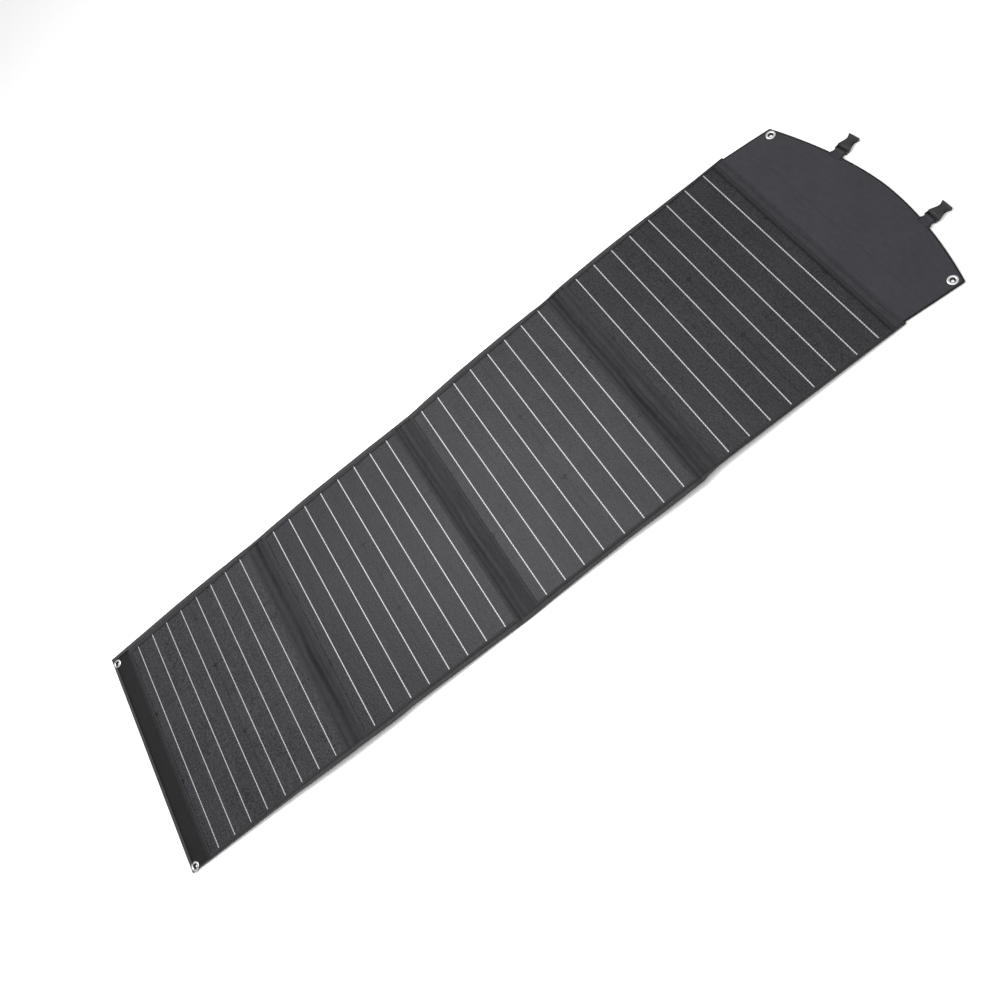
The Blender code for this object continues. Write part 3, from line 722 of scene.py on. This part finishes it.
def build_back(number):
    made = grid(spread(-POCKET, POCKET, 0.008), spread(-CLOTH_Y, CLOTH_Y, 0.008))
    back = cloth(f"back_panel_{number}", made, back_height, on_panel(number), BACK_CLOTH)
    stand_in(back, f"panel_{number}", f"panel_{number}_back_cover")
    return back


def fold_columns():
    half = stepped(0.0, (0.007, 0.0009), (POCKET_FOLD, 0.0013))
    return [-x for x in reversed(half[1:])] + half


def build_fold(number):
    near, far = FOLDS[number]
    xs, ys = fold_columns(), spread(-CLOTH_Y, CLOTH_Y, 0.006)
    front = cloth(f"fold_{number}_front", grid(xs, ys), crease_height(number), over_fold(number),
                  FOLD_CLOTH[number])
    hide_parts(f"{near}_front_border", f"{far}_front_border")
    back = cloth(f"fold_{number}_back", grid(xs, ys), even_back, over_fold(number), BACK_CLOTH)
    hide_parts(f"{near}_back_cover", f"{far}_back_cover")
    return bend_over(front), bend_over(back)


def build_lead(number):
    """Flat copper lead between the two cloths of a fold, bending with them."""
    near, far = FOLDS[number]
    nodes = [f"{panel}_fold_{number}_lead" for panel in (near, far)]
    low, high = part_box(nodes[0])
    made = grid(spread(-LEAD_HALF, LEAD_HALF, 0.0009), spread(low.y, high.y, 0.003))
    lay(made, lambda x, y: LEAD_HEIGHT, over_fold(number))
    lead = finish_piece(f"fold_{number}_lead", made, COPPER)
    thicken(lead, LEAD_THICK, 0.0)
    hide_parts(*nodes)
    bend_over(lead)


# the hem tape's section: inward from the edge, and height over the panel's back
HEM_SECTION = [(0.0083, 0.0042), (0.0073, 0.0036), (0.0062, 0.00305), (0.0048, 0.00285),
               (0.003, 0.0028), (0.0014, 0.00275), (0.0004, 0.00245), (0.0, 0.0017),
               (0.0002, 0.0009), (0.0009, 0.00035), (0.0022, 0.0001), (0.005, 0.00005),
               (0.0085, 0.00005)]
HEM_LINE = (EDGE - 0.0066, 0.0032)  # stitches along a side hem: across, and height


def lengths(path):
    """How far along a path each of its places lies."""
    passed = [0.0]
    for a, b in zip(path, path[1:]):
        passed.append(passed[-1] + math.dist(a, b))
    return passed


def swept_tape(path, section, put, inward=1.0):
    """Tape folded over an edge: its section carried along a path of flat points, mitred."""
    made = grid(range(len(path)), range(len(section)))
    around, along = lengths(section), lengths(path)
    insets = []
    for index, point in enumerate(path):
        before = Vector(path[max(index - 1, 0)])
        after = Vector(path[min(index + 1, len(path) - 1)])
        here = Vector(point)
        first = (here - before) if index else (after - here)
        second = (after - here) if index < len(path) - 1 else (here - before)
        first, second = first.normalized(), second.normalized()
        square = Vector((-(first.y + second.y), first.x + second.x))
        square = square.normalized() * inward
        insets.append(square / max(0.5, abs(square.dot(Vector((-first.y, first.x))))))
    map_flat(made, lambda place: (along[round(place.x)], around[round(place.y)]))
    for vertex in made.verts:
        column, row = round(vertex.co.x), round(vertex.co.y)
        inset, height = section[row]
        x, y = Vector(path[column]) + insets[column] * inset
        vertex.co = put(Vector((x, y, height)))
    bmesh.ops.recalc_face_normals(made, faces=made.faces)
    return made


def finish_tape(name, made, finish=HEM_CLOTH):
    """Turn the tape's faces outward and give it its thickness."""
    made.normal_update()
    highest = max(made.faces, key=lambda face: face.calc_center_median().z)
    if highest.normal.z < 0:
        bmesh.ops.reverse_faces(made, faces=made.faces)
    tape = finish_piece(name, made, finish)
    thicken(tape, TAPE, 0.0)
    return tape


def sew(name, runs, put):
    """Rows of stitches: each run is flat points with the height of the cloth at each."""
    made = bmesh.new()
    for run in runs:
        for a, b in zip(run, run[1:]):
            a, b = Vector(a), Vector(b)
            count = max(1, round((b - a).length / STITCH))
            for place in range(count):
                first = put(a.lerp(b, (place + 0.14) / count))
                last = put(a.lerp(b, (place + 0.86) / count))
                along = (last - first) / 2
                across = Vector((0, 0, 1)).cross(along).normalized() * THREAD_WIDE
                up = along.cross(across).normalized() * THREAD_THICK
                turned = Matrix((along, across, up)).transposed().to_4x4()
                bmesh.ops.create_icosphere(
                    made, subdivisions=1, radius=1.0,
                    matrix=Matrix.Translation((first + last) / 2) @ turned)
    return finish_piece(name, made, THREAD, 60.0)


def across_run(x, y, height):
    """A row of stitches straight across a piece."""
    return [(x, -y, height), (x, y, height)]


def side_runs(low, high):
    """A row of stitches along each side hem."""
    y, height = HEM_LINE
    return [[(low, side * y, height), (high, side * y, height)] for side in (-1, 1)]


def hem(name, path, put, inward=1.0):
    return finish_tape(name, swept_tape(path, HEM_SECTION, put, inward))


def side_hems(name, xs, put):
    return [hem(f"{name}_{word}", [(x, side * EDGE) for x in xs], put, -side)
            for side, word in SIDES]


def far_end(number):
    """Where a panel's hems end towards the flap."""
    return PITCH / 2 if number == 4 else POCKET


def build_panel_hems(number):
    """Hem tape along both sides of a panel, and round the tail end of the last one."""
    name, put = f"hem_panel_{number}", on_panel(number)
    if number == 1:
        side = spread(-BEYOND_TAIL, POCKET, HEM_STEP)
        path = [(x, EDGE) for x in reversed(side)]
        path += [(-BEYOND_TAIL, y) for y in spread(-EDGE, EDGE, HEM_STEP)[::-1][1:-1]]
        path += [(x, -EDGE) for x in side]
        tapes = [hem(name, path, put)]
    else:
        tapes = side_hems(name, spread(-POCKET, far_end(number), HEM_STEP), put)
    for tape in tapes:
        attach(tape, f"panel_{number}")
    return tapes


def build_fold_hems(number):
    tapes = side_hems(f"hem_fold_{number}", fold_columns(), over_fold(number))
    return [bend_over(tape) for tape in tapes]


def sew_panel(number):
    """Stitches round the window and along the hems and seams of a panel."""
    (x, y), height = WINDOW_SEAM, FACING_TOP + 0.0001
    runs = [[(-x, -y, height), (x, -y, height), (x, y, height), (-x, y, height),
             (-x, -y, height)]]
    if number == 1:
        x, (y, height) = -TAIL + 0.006, HEM_LINE
        runs.append([(POCKET, y, height), (x, y, height), (x, -y, height),
                     (POCKET, -y, height)])
        runs.append(across_run(-POCKET - SEAM_IN, STITCH_END, BAND_TOP + 0.0003))
    else:
        runs += side_runs(-POCKET, far_end(number))
    if number == 4:
        runs += [across_run(POCKET + x, STITCH_END, BAND_TOP + 0.0005) for x in (SEAM_IN, 0.0095)]
    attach(sew(f"stitches_panel_{number}", runs, on_panel(number)), f"panel_{number}")


def sew_fold(number):
    x = POCKET_FOLD
    runs = [across_run(side * (x - SEAM_IN), STITCH_END, BAND_TOP + 0.0001) for side in (-1, 1)]
    bend_over(sew(f"stitches_fold_{number}", runs + side_runs(-x, x), over_fold(number)))


for number in (4, 3, 2, 1):
    sew_panel(number)
    facing, back = build_facing(number), build_back(number)
    hems = build_panel_hems(number)
for number in (1, 2, 3):
    sew_fold(number)
    build_lead(number)
    front, back = build_fold(number)
    hems = build_fold_hems(number)


# ---- end borders of the blanket
def build_border(name, panel, xs, ys, top, finish):
    """Front and back cloth of an end border."""
    put = on_panel(int(panel[-1]))
    front = cloth(f"{name}_front", grid(xs, ys), top, put, finish)
    back = cloth(f"{name}_back", grid(xs, ys), even_back, put, BACK_CLOTH)
    for sheet, node in ((front, f"{panel}_front_border"), (back, f"{panel}_back_cover")):
        if name == "tail":
            punch(sheet, "grommet_eyelet_tail_left")
            punch(sheet, "grommet_eyelet_tail_right")
        stand_in(sheet, panel, node)


def build_tail():
    def top(x, y):
        calm = smooth((-POCKET - x) / 0.006) * smooth((x + TAIL) / 0.006)
        calm *= smooth((HALF - 0.004 - abs(y)) / 0.008)
        return BAND_TOP + 0.0004 * calm * (ripple(x, y, 0.03, 8.0) + 0.3)
    build_border("tail", "panel_1", spread(-TAIL, -POCKET, 0.0034),
                 spread(-CLOTH_Y, CLOTH_Y, 0.005), top, TAIL_CLOTH_PAINTED_SHADE)


def build_flap_border():
    """Cloth between the fourth panel's cells and the flap's seam."""
    def top(x, y):
        calm = smooth((x - POCKET) / 0.003) * smooth((PITCH / 2 - x) / 0.003)
        return BAND_TOP + 0.0003 * calm * (1.2 + ripple(x * 3, y, 0.06, 9.0))
    build_border("border", "panel_4", spread(POCKET, PITCH / 2 + 0.001, 0.0016),
                 spread(-CLOTH_Y, CLOTH_Y, 0.006), top, SEAM_CLOTH)


build_tail()
build_flap_border()


# ---- flap
def flap_half(x):
    share = (x - SEAM_X) / (CORNER_X - SEAM_X)
    return SEAM_Y + (CORNER_Y - SEAM_Y) * min(1.0, max(0.0, share))


def flap_edge(y):
    """The straight flap's outer edge: arched between sharp corners."""
    reach = CORNER_Y - 0.002
    if abs(y) <= reach:
        return CORNER_X + FLAP_ARCH * (1 - (abs(y) / reach) ** 1.8)
    return CORNER_X - 0.002 * ((abs(y) - reach) / 0.002) ** 2


def askew(place):
    """Where a place on the straight flap lies once the flap is drawn a little askew."""
    beyond = min(1.0, max(0.0, (place.x - BEND_2.x) / (CORNER_X - BEND_2.x)))
    drawn = Vector((-FLAP_ASKEW * beyond * place.y, -FLAP_DRAWN * (place.x - SEAM_X), 0.0))
    return place + drawn


FAN = BEND_2.x + 0.012  # grid lines run straight to here and then fan out
SPLIT = 0.25  # share of the way along at which they do


def flap_point(along, across):
    """A place beyond the spine: along runs 0 to 1 to the edge, across -1 to 1."""
    if along < SPLIT:
        x = MID_SPINE + (FAN - MID_SPINE) * along / SPLIT
    else:
        x = FAN + (flap_edge(across * CORNER_Y) - FAN) * (along - SPLIT) / (1 - SPLIT)
    return x, across * flap_half(x)


def flap_top(x, y):
    """Height of the flap's cloth: nearly flat, with faint wrinkles near its seams."""
    bound = min(CORNER_Y, max(-CORNER_Y, y))
    seam = math.exp(-((x - SEAM_X) / 0.018) ** 2)
    edge = math.exp(-((flap_edge(bound) - x) / 0.02) ** 2)
    calm = smooth((flap_edge(bound) - x) / 0.01) * smooth((flap_half(x) - abs(y)) / 0.01)
    calm *= smooth(abs(x - MID_SPINE) / 0.01)
    soft = 0.35 * ripple(x, y, 0.075, 21.0) + 0.3 * (seam + edge) * ripple(x, y, 0.022, 22.0)
    return FLAP_HIGH - 0.0003 + 0.0007 * calm * soft


def flap_cloth(name, made):
    map_flat(made, lambda place: place.xy)
    for vertex in made.verts:
        vertex.co.z = flap_top(vertex.co.x, vertex.co.y)
        vertex.co = askew(vertex.co)
    slab = finish_piece(name, made, FLAP_CLOTH)
    thicken(slab, FLAP_HIGH - FLAP_LOW - 0.0006)
    return slab


def build_flap_base():
    xs = stepped(SEAM_X - 0.0012, (BEND_1.x - BEND_REACH, 0.0025), (BEND_1.x + BEND_REACH, 0.001),
                 (MID_SPINE + 0.0002, 0.0022))
    made = grid(xs, spread(-1.0, 1.0, 0.012))
    for vertex in made.verts:
        vertex.co.y *= flap_half(vertex.co.x) - 0.0004
    return flap_cloth("flap_base_cloth", made)


def build_flap_cover():
    alongs = stepped(0.0, (SPLIT, 0.013), (0.93, 0.028), (1.0, 0.012))
    made = grid(alongs, spread(-1.0, 1.0, 0.012))
    for vertex in made.verts:
        x, y = flap_point(vertex.co.x, vertex.co.y)
        vertex.co = (min(x, flap_edge(vertex.co.y * CORNER_Y) - 0.0004), y * 0.998, 0.0)
    return flap_cloth("flap_cover_cloth", made)


# the flap's binding: inward from the edge, and height
FLAP_SECTION = [(0.0024, FLAP_HIGH), (0.0016, FLAP_HIGH + 0.0001),
                (0.0007, FLAP_HIGH), (0.0002, FLAP_HIGH - 0.0005),
                (0.0, (FLAP_LOW + FLAP_HIGH) / 2), (0.0002, FLAP_LOW + 0.0005),
                (0.0007, FLAP_LOW), (0.0024, FLAP_LOW - 0.0001)]


def bind(name, path, inward):
    return finish_tape(name, swept_tape(path, FLAP_SECTION, askew, inward), EDGE_TAPE)


def flap_rim(inset):
    """Places along the straight flap's sides and arched edge, from left to right."""
    side_run = stepped(MID_SPINE, (BEND_2.x + 0.008, 0.0012),
                       (CORNER_X - 0.0024 - inset, 0.004))
    path = [(x, flap_half(x) - inset) for x in side_run]
    reach = CORNER_Y - inset
    rim = [reach * math.sin(turn) for turn in spread(-math.pi / 2, math.pi / 2, 0.03)][::-1]
    path += [(flap_edge(y * CORNER_Y / reach) - inset, y) for y in rim]
    path += [(x, inset - flap_half(x)) for x in reversed(side_run)]
    return path


def build_flap():
    base = build_flap_base()
    cover = build_flap_cover()
    punch(cover, "grommet_eyelet_flap_left")
    punch(cover, "grommet_eyelet_flap_right")
    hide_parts("flap_base", "flap_spine")
    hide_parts("flap_spine", "flap_lining", "flap_cover")
    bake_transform(base)
    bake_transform(cover)
    base_run = stepped(SEAM_X - 0.0006, (BEND_1.x - BEND_REACH, 0.004), (MID_SPINE, 0.0012))
    for side, word in SIDES:
        path = [(x, side * (flap_half(x) + 0.0002)) for x in base_run]
        tape = bind(f"hem_flap_base_{word}", path, -side)
        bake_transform(tape)
    edge_hem = bind("hem_flap_edge", flap_rim(-0.0002), -1.0)
    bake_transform(edge_hem)
    seams = [across_run(SEAM_X + inset, SEAM_Y - 0.003, FLAP_HIGH - 0.0001)
             for inset in (SEAM_IN, 0.0048)]
    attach(sew("stitches_flap_seam", seams, askew), "panel_4")
    rim = [(x, y, flap_top(x, y) + 0.0002) for x, y in flap_rim(0.004) if x > BEND_2.x + 0.007]
    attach(sew("stitches_flap_edge", [rim], askew), "flap")


build_flap()


# ---- grommets
RIM = 0.00835  # outer radius of a grommet
BORE = 0.0024  # its narrowest radius


def spun_ring(name, profile, centre, finish):
    """A ring turned about an upright axis from places (radius, height), closed on itself."""
    made = bmesh.new()
    corners = [made.verts.new((radius, 0.0, height)) for radius, height in profile]
    edges = [made.edges.new((a, b)) for a, b in zip(corners, corners[1:] + corners[:1])]
    bmesh.ops.spin(made, geom=corners + edges, cent=(0, 0, 0), axis=(0, 0, 1), dvec=(0, 0, 0),
                   angle=2 * math.pi, steps=44, use_merge=True, use_duplicate=False)
    bmesh.ops.recalc_face_normals(made, faces=made.faces)
    bmesh.ops.translate(made, verts=made.verts, vec=centre)
    return finish_piece(name, made, finish, 50.0)


def lip(inner, low, high):
    """Half the section of a rolled flange, from its outer rim over the top to the bore."""
    ridge, half = (inner + RIM) / 2, (RIM - inner) / 2
    return [(ridge + half * math.cos(turn), low + (high - low) * math.sin(turn) ** 0.8)
            for turn in spread(0.05, math.pi - 0.05, 0.25)]


def build_grommet(word, body):
    eyelet, washer = f"grommet_eyelet_{word}", f"grommet_washer_{word}"
    low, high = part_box(eyelet)
    centre = Vector(((low.x + high.x) / 2, (low.y + high.y) / 2, 0.0))
    top, under = high.z, low.z
    ring = spun_ring(f"rolled_{eyelet}", lip(0.0043, top - 0.0008, top + 0.0002), centre, STEEL)
    # the barrel's dark metal is painted shade inside the bore
    barrel = spun_ring(f"barrel_{eyelet}", [
        (0.0047, top - 0.0004), (0.0041, top - 0.0009), (0.0034, (top + under) / 2),
        (BORE, under + 0.0008), (BORE, under + 0.0001), (0.0047, under + 0.0001),
        (0.0048, (top + under) / 2)], centre, BARREL_PAINTED_SHADE)
    back = spun_ring(f"rolled_{washer}", lip(0.0045, under + 0.0008, under + 0.0001), centre,
                     STEEL)
    stand_in(ring, body, eyelet)
    stand_in(barrel, body, eyelet)
    stand_in(back, body, washer)


for word, body in (("flap_left", "flap"), ("flap_right", "flap"),
                   ("tail_left", "panel_1"), ("tail_right", "panel_1")):
    build_grommet(word, body)


# ---- webbing and buckles
BAR = 0.0019  # radius of a webbing's turn round a buckle's bar
STRAP_HALF = 0.0097
PATCH_FACE = 0.0006  # stitches' height on a strap's sewn end


def band(name, path, half_width, put, finish=WEBBING):
    """Webbing along a path of (along, height) places, with half its width at each place."""
    made = grid(range(len(path)), spread(-1.0, 1.0, 0.2))
    around = lengths(path)
    for vertex in made.verts:
        vertex.co.y *= half_width(path[round(vertex.co.x)][0])
    map_flat(made, lambda place: (around[round(place.x)], place.y))
    for vertex in made.verts:
        along, height = path[round(vertex.co.x)]
        vertex.co = put(Vector((along, vertex.co.y, height)))
    webbing = finish_piece(name, made, finish, 60.0)
    thicken(webbing, WEB, 0.0)
    return webbing


def round_bar(centre):
    """The turn of a webbing round a buckle's bar."""
    return [(centre + BAR * math.cos(turn), BAR * math.sin(turn))
            for turn in spread(math.pi / 2, -math.pi / 2, 0.32)]


def bend_at(webbing):
    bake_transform(webbing)


def placed(matrix):
    return lambda place: matrix @ place


def tab_frame(word):
    """Along a tab and its socket, from the tab's hinge."""
    turned = Matrix.Rotation(math.radians(BUCKLE_TURN[word]), 4, "Z")
    return Matrix.Translation(HINGES[f"tab_{word}"]) @ turned


def strap_frame(word):
    """Along a strap and its plug, from the strap's hinge."""
    tilted = Matrix.Rotation(-math.radians(TILT[1]), 4, "Y")
    return Matrix.Translation(HINGES[f"strap_turn_{word}"]) @ tilted


def tab_half(along):
    """Half the tab's width: spread at its root, and straight where it meets the buckle."""
    return 0.0088 + 0.0034 * math.exp(-max(0.0, along + 0.0005) / 0.0026)


def build_tab(word):
    here = tab_frame(word)
    put = placed(here)
    path = [(-0.006, 0.0003), (-0.003, 0.0005), (-0.001, 0.0008), (0.001, 0.001),
            (0.0028, 0.0012), (0.0044, 0.0016), (0.006, BAR), (0.0074, BAR)]
    path += round_bar(0.0087)
    path += [(0.0074, -BAR), (0.0058, -0.0017), (0.004, -0.0009), (0.002, -0.0006),
             (0.0, -0.0004), (-0.003, -0.0003)]
    tab = band(f"tab_webbing_{word}", path, tab_half, put, TAB_CLOTH)
    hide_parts(f"webbing_tab_{word}")
    bend_at(tab)
    rows = [across_run(0.0046, 0.008, 0.0023), across_run(0.0058, 0.008, 0.0025)]
    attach(sew(f"stitches_tab_{word}", rows, put), f"socket_{word}")


# half a socket's width by place along it
SOCKET_PLAN = [(0.0, 0.0113), (0.0025, 0.0112), (0.006, 0.0099), (0.0095, 0.0084),
               (0.013, 0.0074), (0.016, 0.007), (0.0182, 0.0073), (0.0205, 0.0084),
               (0.023, 0.0096), (0.0245, 0.01)]
SOCKET_START = 0.0145  # from the tab's hinge
SOCKET_UNDER = 0.0031  # a socket's underside, down from its middle


def plan_half(along):
    for (a, low), (b, high) in zip(SOCKET_PLAN, SOCKET_PLAN[1:]):
        if along <= b:
            return low + (high - low) * smooth((along - a) / (b - a))
    return SOCKET_PLAN[-1][1]


def build_shell(word, face):
    """Crowned, ribbed face of a socket, over or under its hollow body."""
    here = tab_frame(word)
    start = -0.0014 if face > 0 else -0.0046
    made = grid(spread(start, 0.0245, 0.0006), spread(-1.0, 1.0, 0.045))
    for vertex in made.verts:
        along, across = vertex.co.x, vertex.co.y
        half = plan_half(max(0.0, along))
        crown = (1 - across * across) ** 0.5 if abs(across) < 1 else 0.0
        shoulder = smooth(along / 0.003) * smooth((0.0262 - along) / 0.003)
        ribs = 0.5 + 0.5 * math.cos(across * half / 0.0021 * 2 * math.pi)
        ribs *= smooth((along - 0.004) / 0.002) * smooth((0.0195 - along) / 0.002)
        ribs *= smooth((0.8 - abs(across)) / 0.12)
        rim = math.exp(-((along - 0.0232) / 0.001) ** 2)
        height = 0.0028 + 0.0011 * crown * shoulder + 0.00035 * ribs + 0.0004 * rim
        if face < 0:
            height = min(height, SOCKET_UNDER)
        vertex.co = here @ Vector((SOCKET_START + along, across * half, face * height))
    if face < 0:
        bmesh.ops.reverse_faces(made, faces=made.faces)
    side = "face" if face > 0 else "underside"
    shell = finish_piece(f"socket_{side}_{word}", made, BUCKLE, 40.0)
    thicken(shell, 0.0005)
    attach(shell, f"socket_{word}")


def build_opening_shade(word):
    """Dark blocks at both sides of a socket's waist, where the prongs' barbs catch: painted shade
    standing in for the openings there.
    """
    made = bmesh.new()
    for side in (-1, 1):
        cut = Matrix.Translation((SOCKET_START + 0.015, side * 0.0062, 0.0033))
        cut = cut @ Matrix.Diagonal((0.0072, 0.0016, 0.001, 1.0))
        bmesh.ops.create_cube(made, size=1.0, matrix=cut)
    bmesh.ops.bevel(made, geom=made.edges[:], offset=0.0004, segments=2, profile=0.5,
                    affect="EDGES", material=-1)
    bmesh.ops.transform(made, matrix=tab_frame(word), verts=made.verts)
    opening_shade = finish_piece(f"socket_opening_shade_{word}", made, HOUSING, 40.0)
    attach(opening_shade, f"socket_{word}")


def build_strap(word):
    """Webbing sewn flat under the last panel, then free out to the plug's bar and back."""
    put = placed(strap_frame(word))
    top = [(x, 0.0023) for x in spread(-0.03, -0.004, 0.006)]
    top += [(-0.0022, 0.002), (0.0, 0.0012), (0.002, 0.0007)]
    top += [(x, 0.0006) for x in spread(0.006, 0.03, 0.006)]
    top += [(0.033, 0.001), (0.036, 0.0018), (0.0385, BAR)]
    under = [(0.0385, -BAR), (0.036, -0.0018), (0.033, -0.001)]
    under += [(x, -0.0006) for x in spread(0.006, 0.03, 0.006)[::-1]]
    under += [(0.002, -0.0005), (0.0, 0.0), (-0.0022, 0.0008)]
    under += [(x, 0.0012) for x in spread(-0.03, -0.004, 0.006)[::-1]]
    path = top + round_bar(0.0401) + under
    strap = band(f"strap_webbing_{word}", path, lambda along: STRAP_HALF, put)
    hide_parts(f"strap_{word}", f"strap_patch_{word}")
    bend_at(strap)
    low, high, half = -0.0275, -0.005, 0.0078
    corners = (low, -half), (high, -half), (high, half), (low, half)
    a, b, c, d = ((x, y, PATCH_FACE) for x, y in corners)
    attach(sew(f"stitches_patch_{word}", [[a, b, c, d, a, c], [d, b]], put), "panel_1")
    rows = [across_run(x, 0.0085, -0.0012) for x in (0.027, 0.029)]
    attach(sew(f"stitches_strap_{word}", rows, put), f"plug_{word}")


for word in ("left", "right"):
    build_tab(word)
    build_shell(word, 1)
    build_shell(word, -1)
    build_opening_shade(word)
    build_strap(word)


# ---- junction box
def build_screws():
    """Four screw heads in the lid's corners."""
    low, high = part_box("junction_box_lid")
    made = bmesh.new()
    for x in (low.x + 0.0048, high.x - 0.0048):
        height = low.z + (high.x - x) * math.tan(math.radians(-TILT[4])) + 0.0004
        for y in (low.y + 0.0048, high.y - 0.0048):
            bmesh.ops.create_cone(made, cap_ends=True, segments=24, radius1=0.0023, radius2=0.0026,
                                  depth=0.001, matrix=Matrix.Translation((x, y, height)))
    rims = [edge for edge in made.edges if edge.calc_length() < 0.001]
    bmesh.ops.bevel(made, geom=rims, offset=0.0003, segments=2, profile=0.5, affect="EDGES",
                    material=-1)
    screws = finish_piece("lid_screws", made, STEEL, 40.0)
    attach(screws, "panel_4")


build_screws()


# ---- finishes of the carried pieces
def coat(node, finish):
    mesh = NODES[node].data
    mesh.materials.clear()
    mesh.materials.append(finish)


# each panel's cells get a tint of their own, lighter or darker for how the light falls on that
# panel: painted light and shade over cells that are alike
CELL_TINTS_PAINTED_LIGHT = {4: (0.032, 0.031, 0.038), 3: (0.035, 0.034, 0.043),
              2: (0.026, 0.0255, 0.034), 1: (0.047, 0.046, 0.055)}
for number, tint in CELL_TINTS_PAINTED_LIGHT.items():
    laminate = f"panel_{number}_laminate"
    coat(laminate, cell_film(f"cell_film_{number}", middle(laminate), tint))
    coat(f"panel_{number}_busbars", RIBBON)
    coat(f"panel_{number}_board", BOARD)
for node in NODES:
    if node.startswith(("buckle", "prong")):
        coat(node, BUCKLE)
    elif node.startswith(("junction", "cable")) or node == "blocking_diode":
        coat(node, HOUSING)
coat("terminal_block", RIBBON)
coat("flap_board", BOARD)
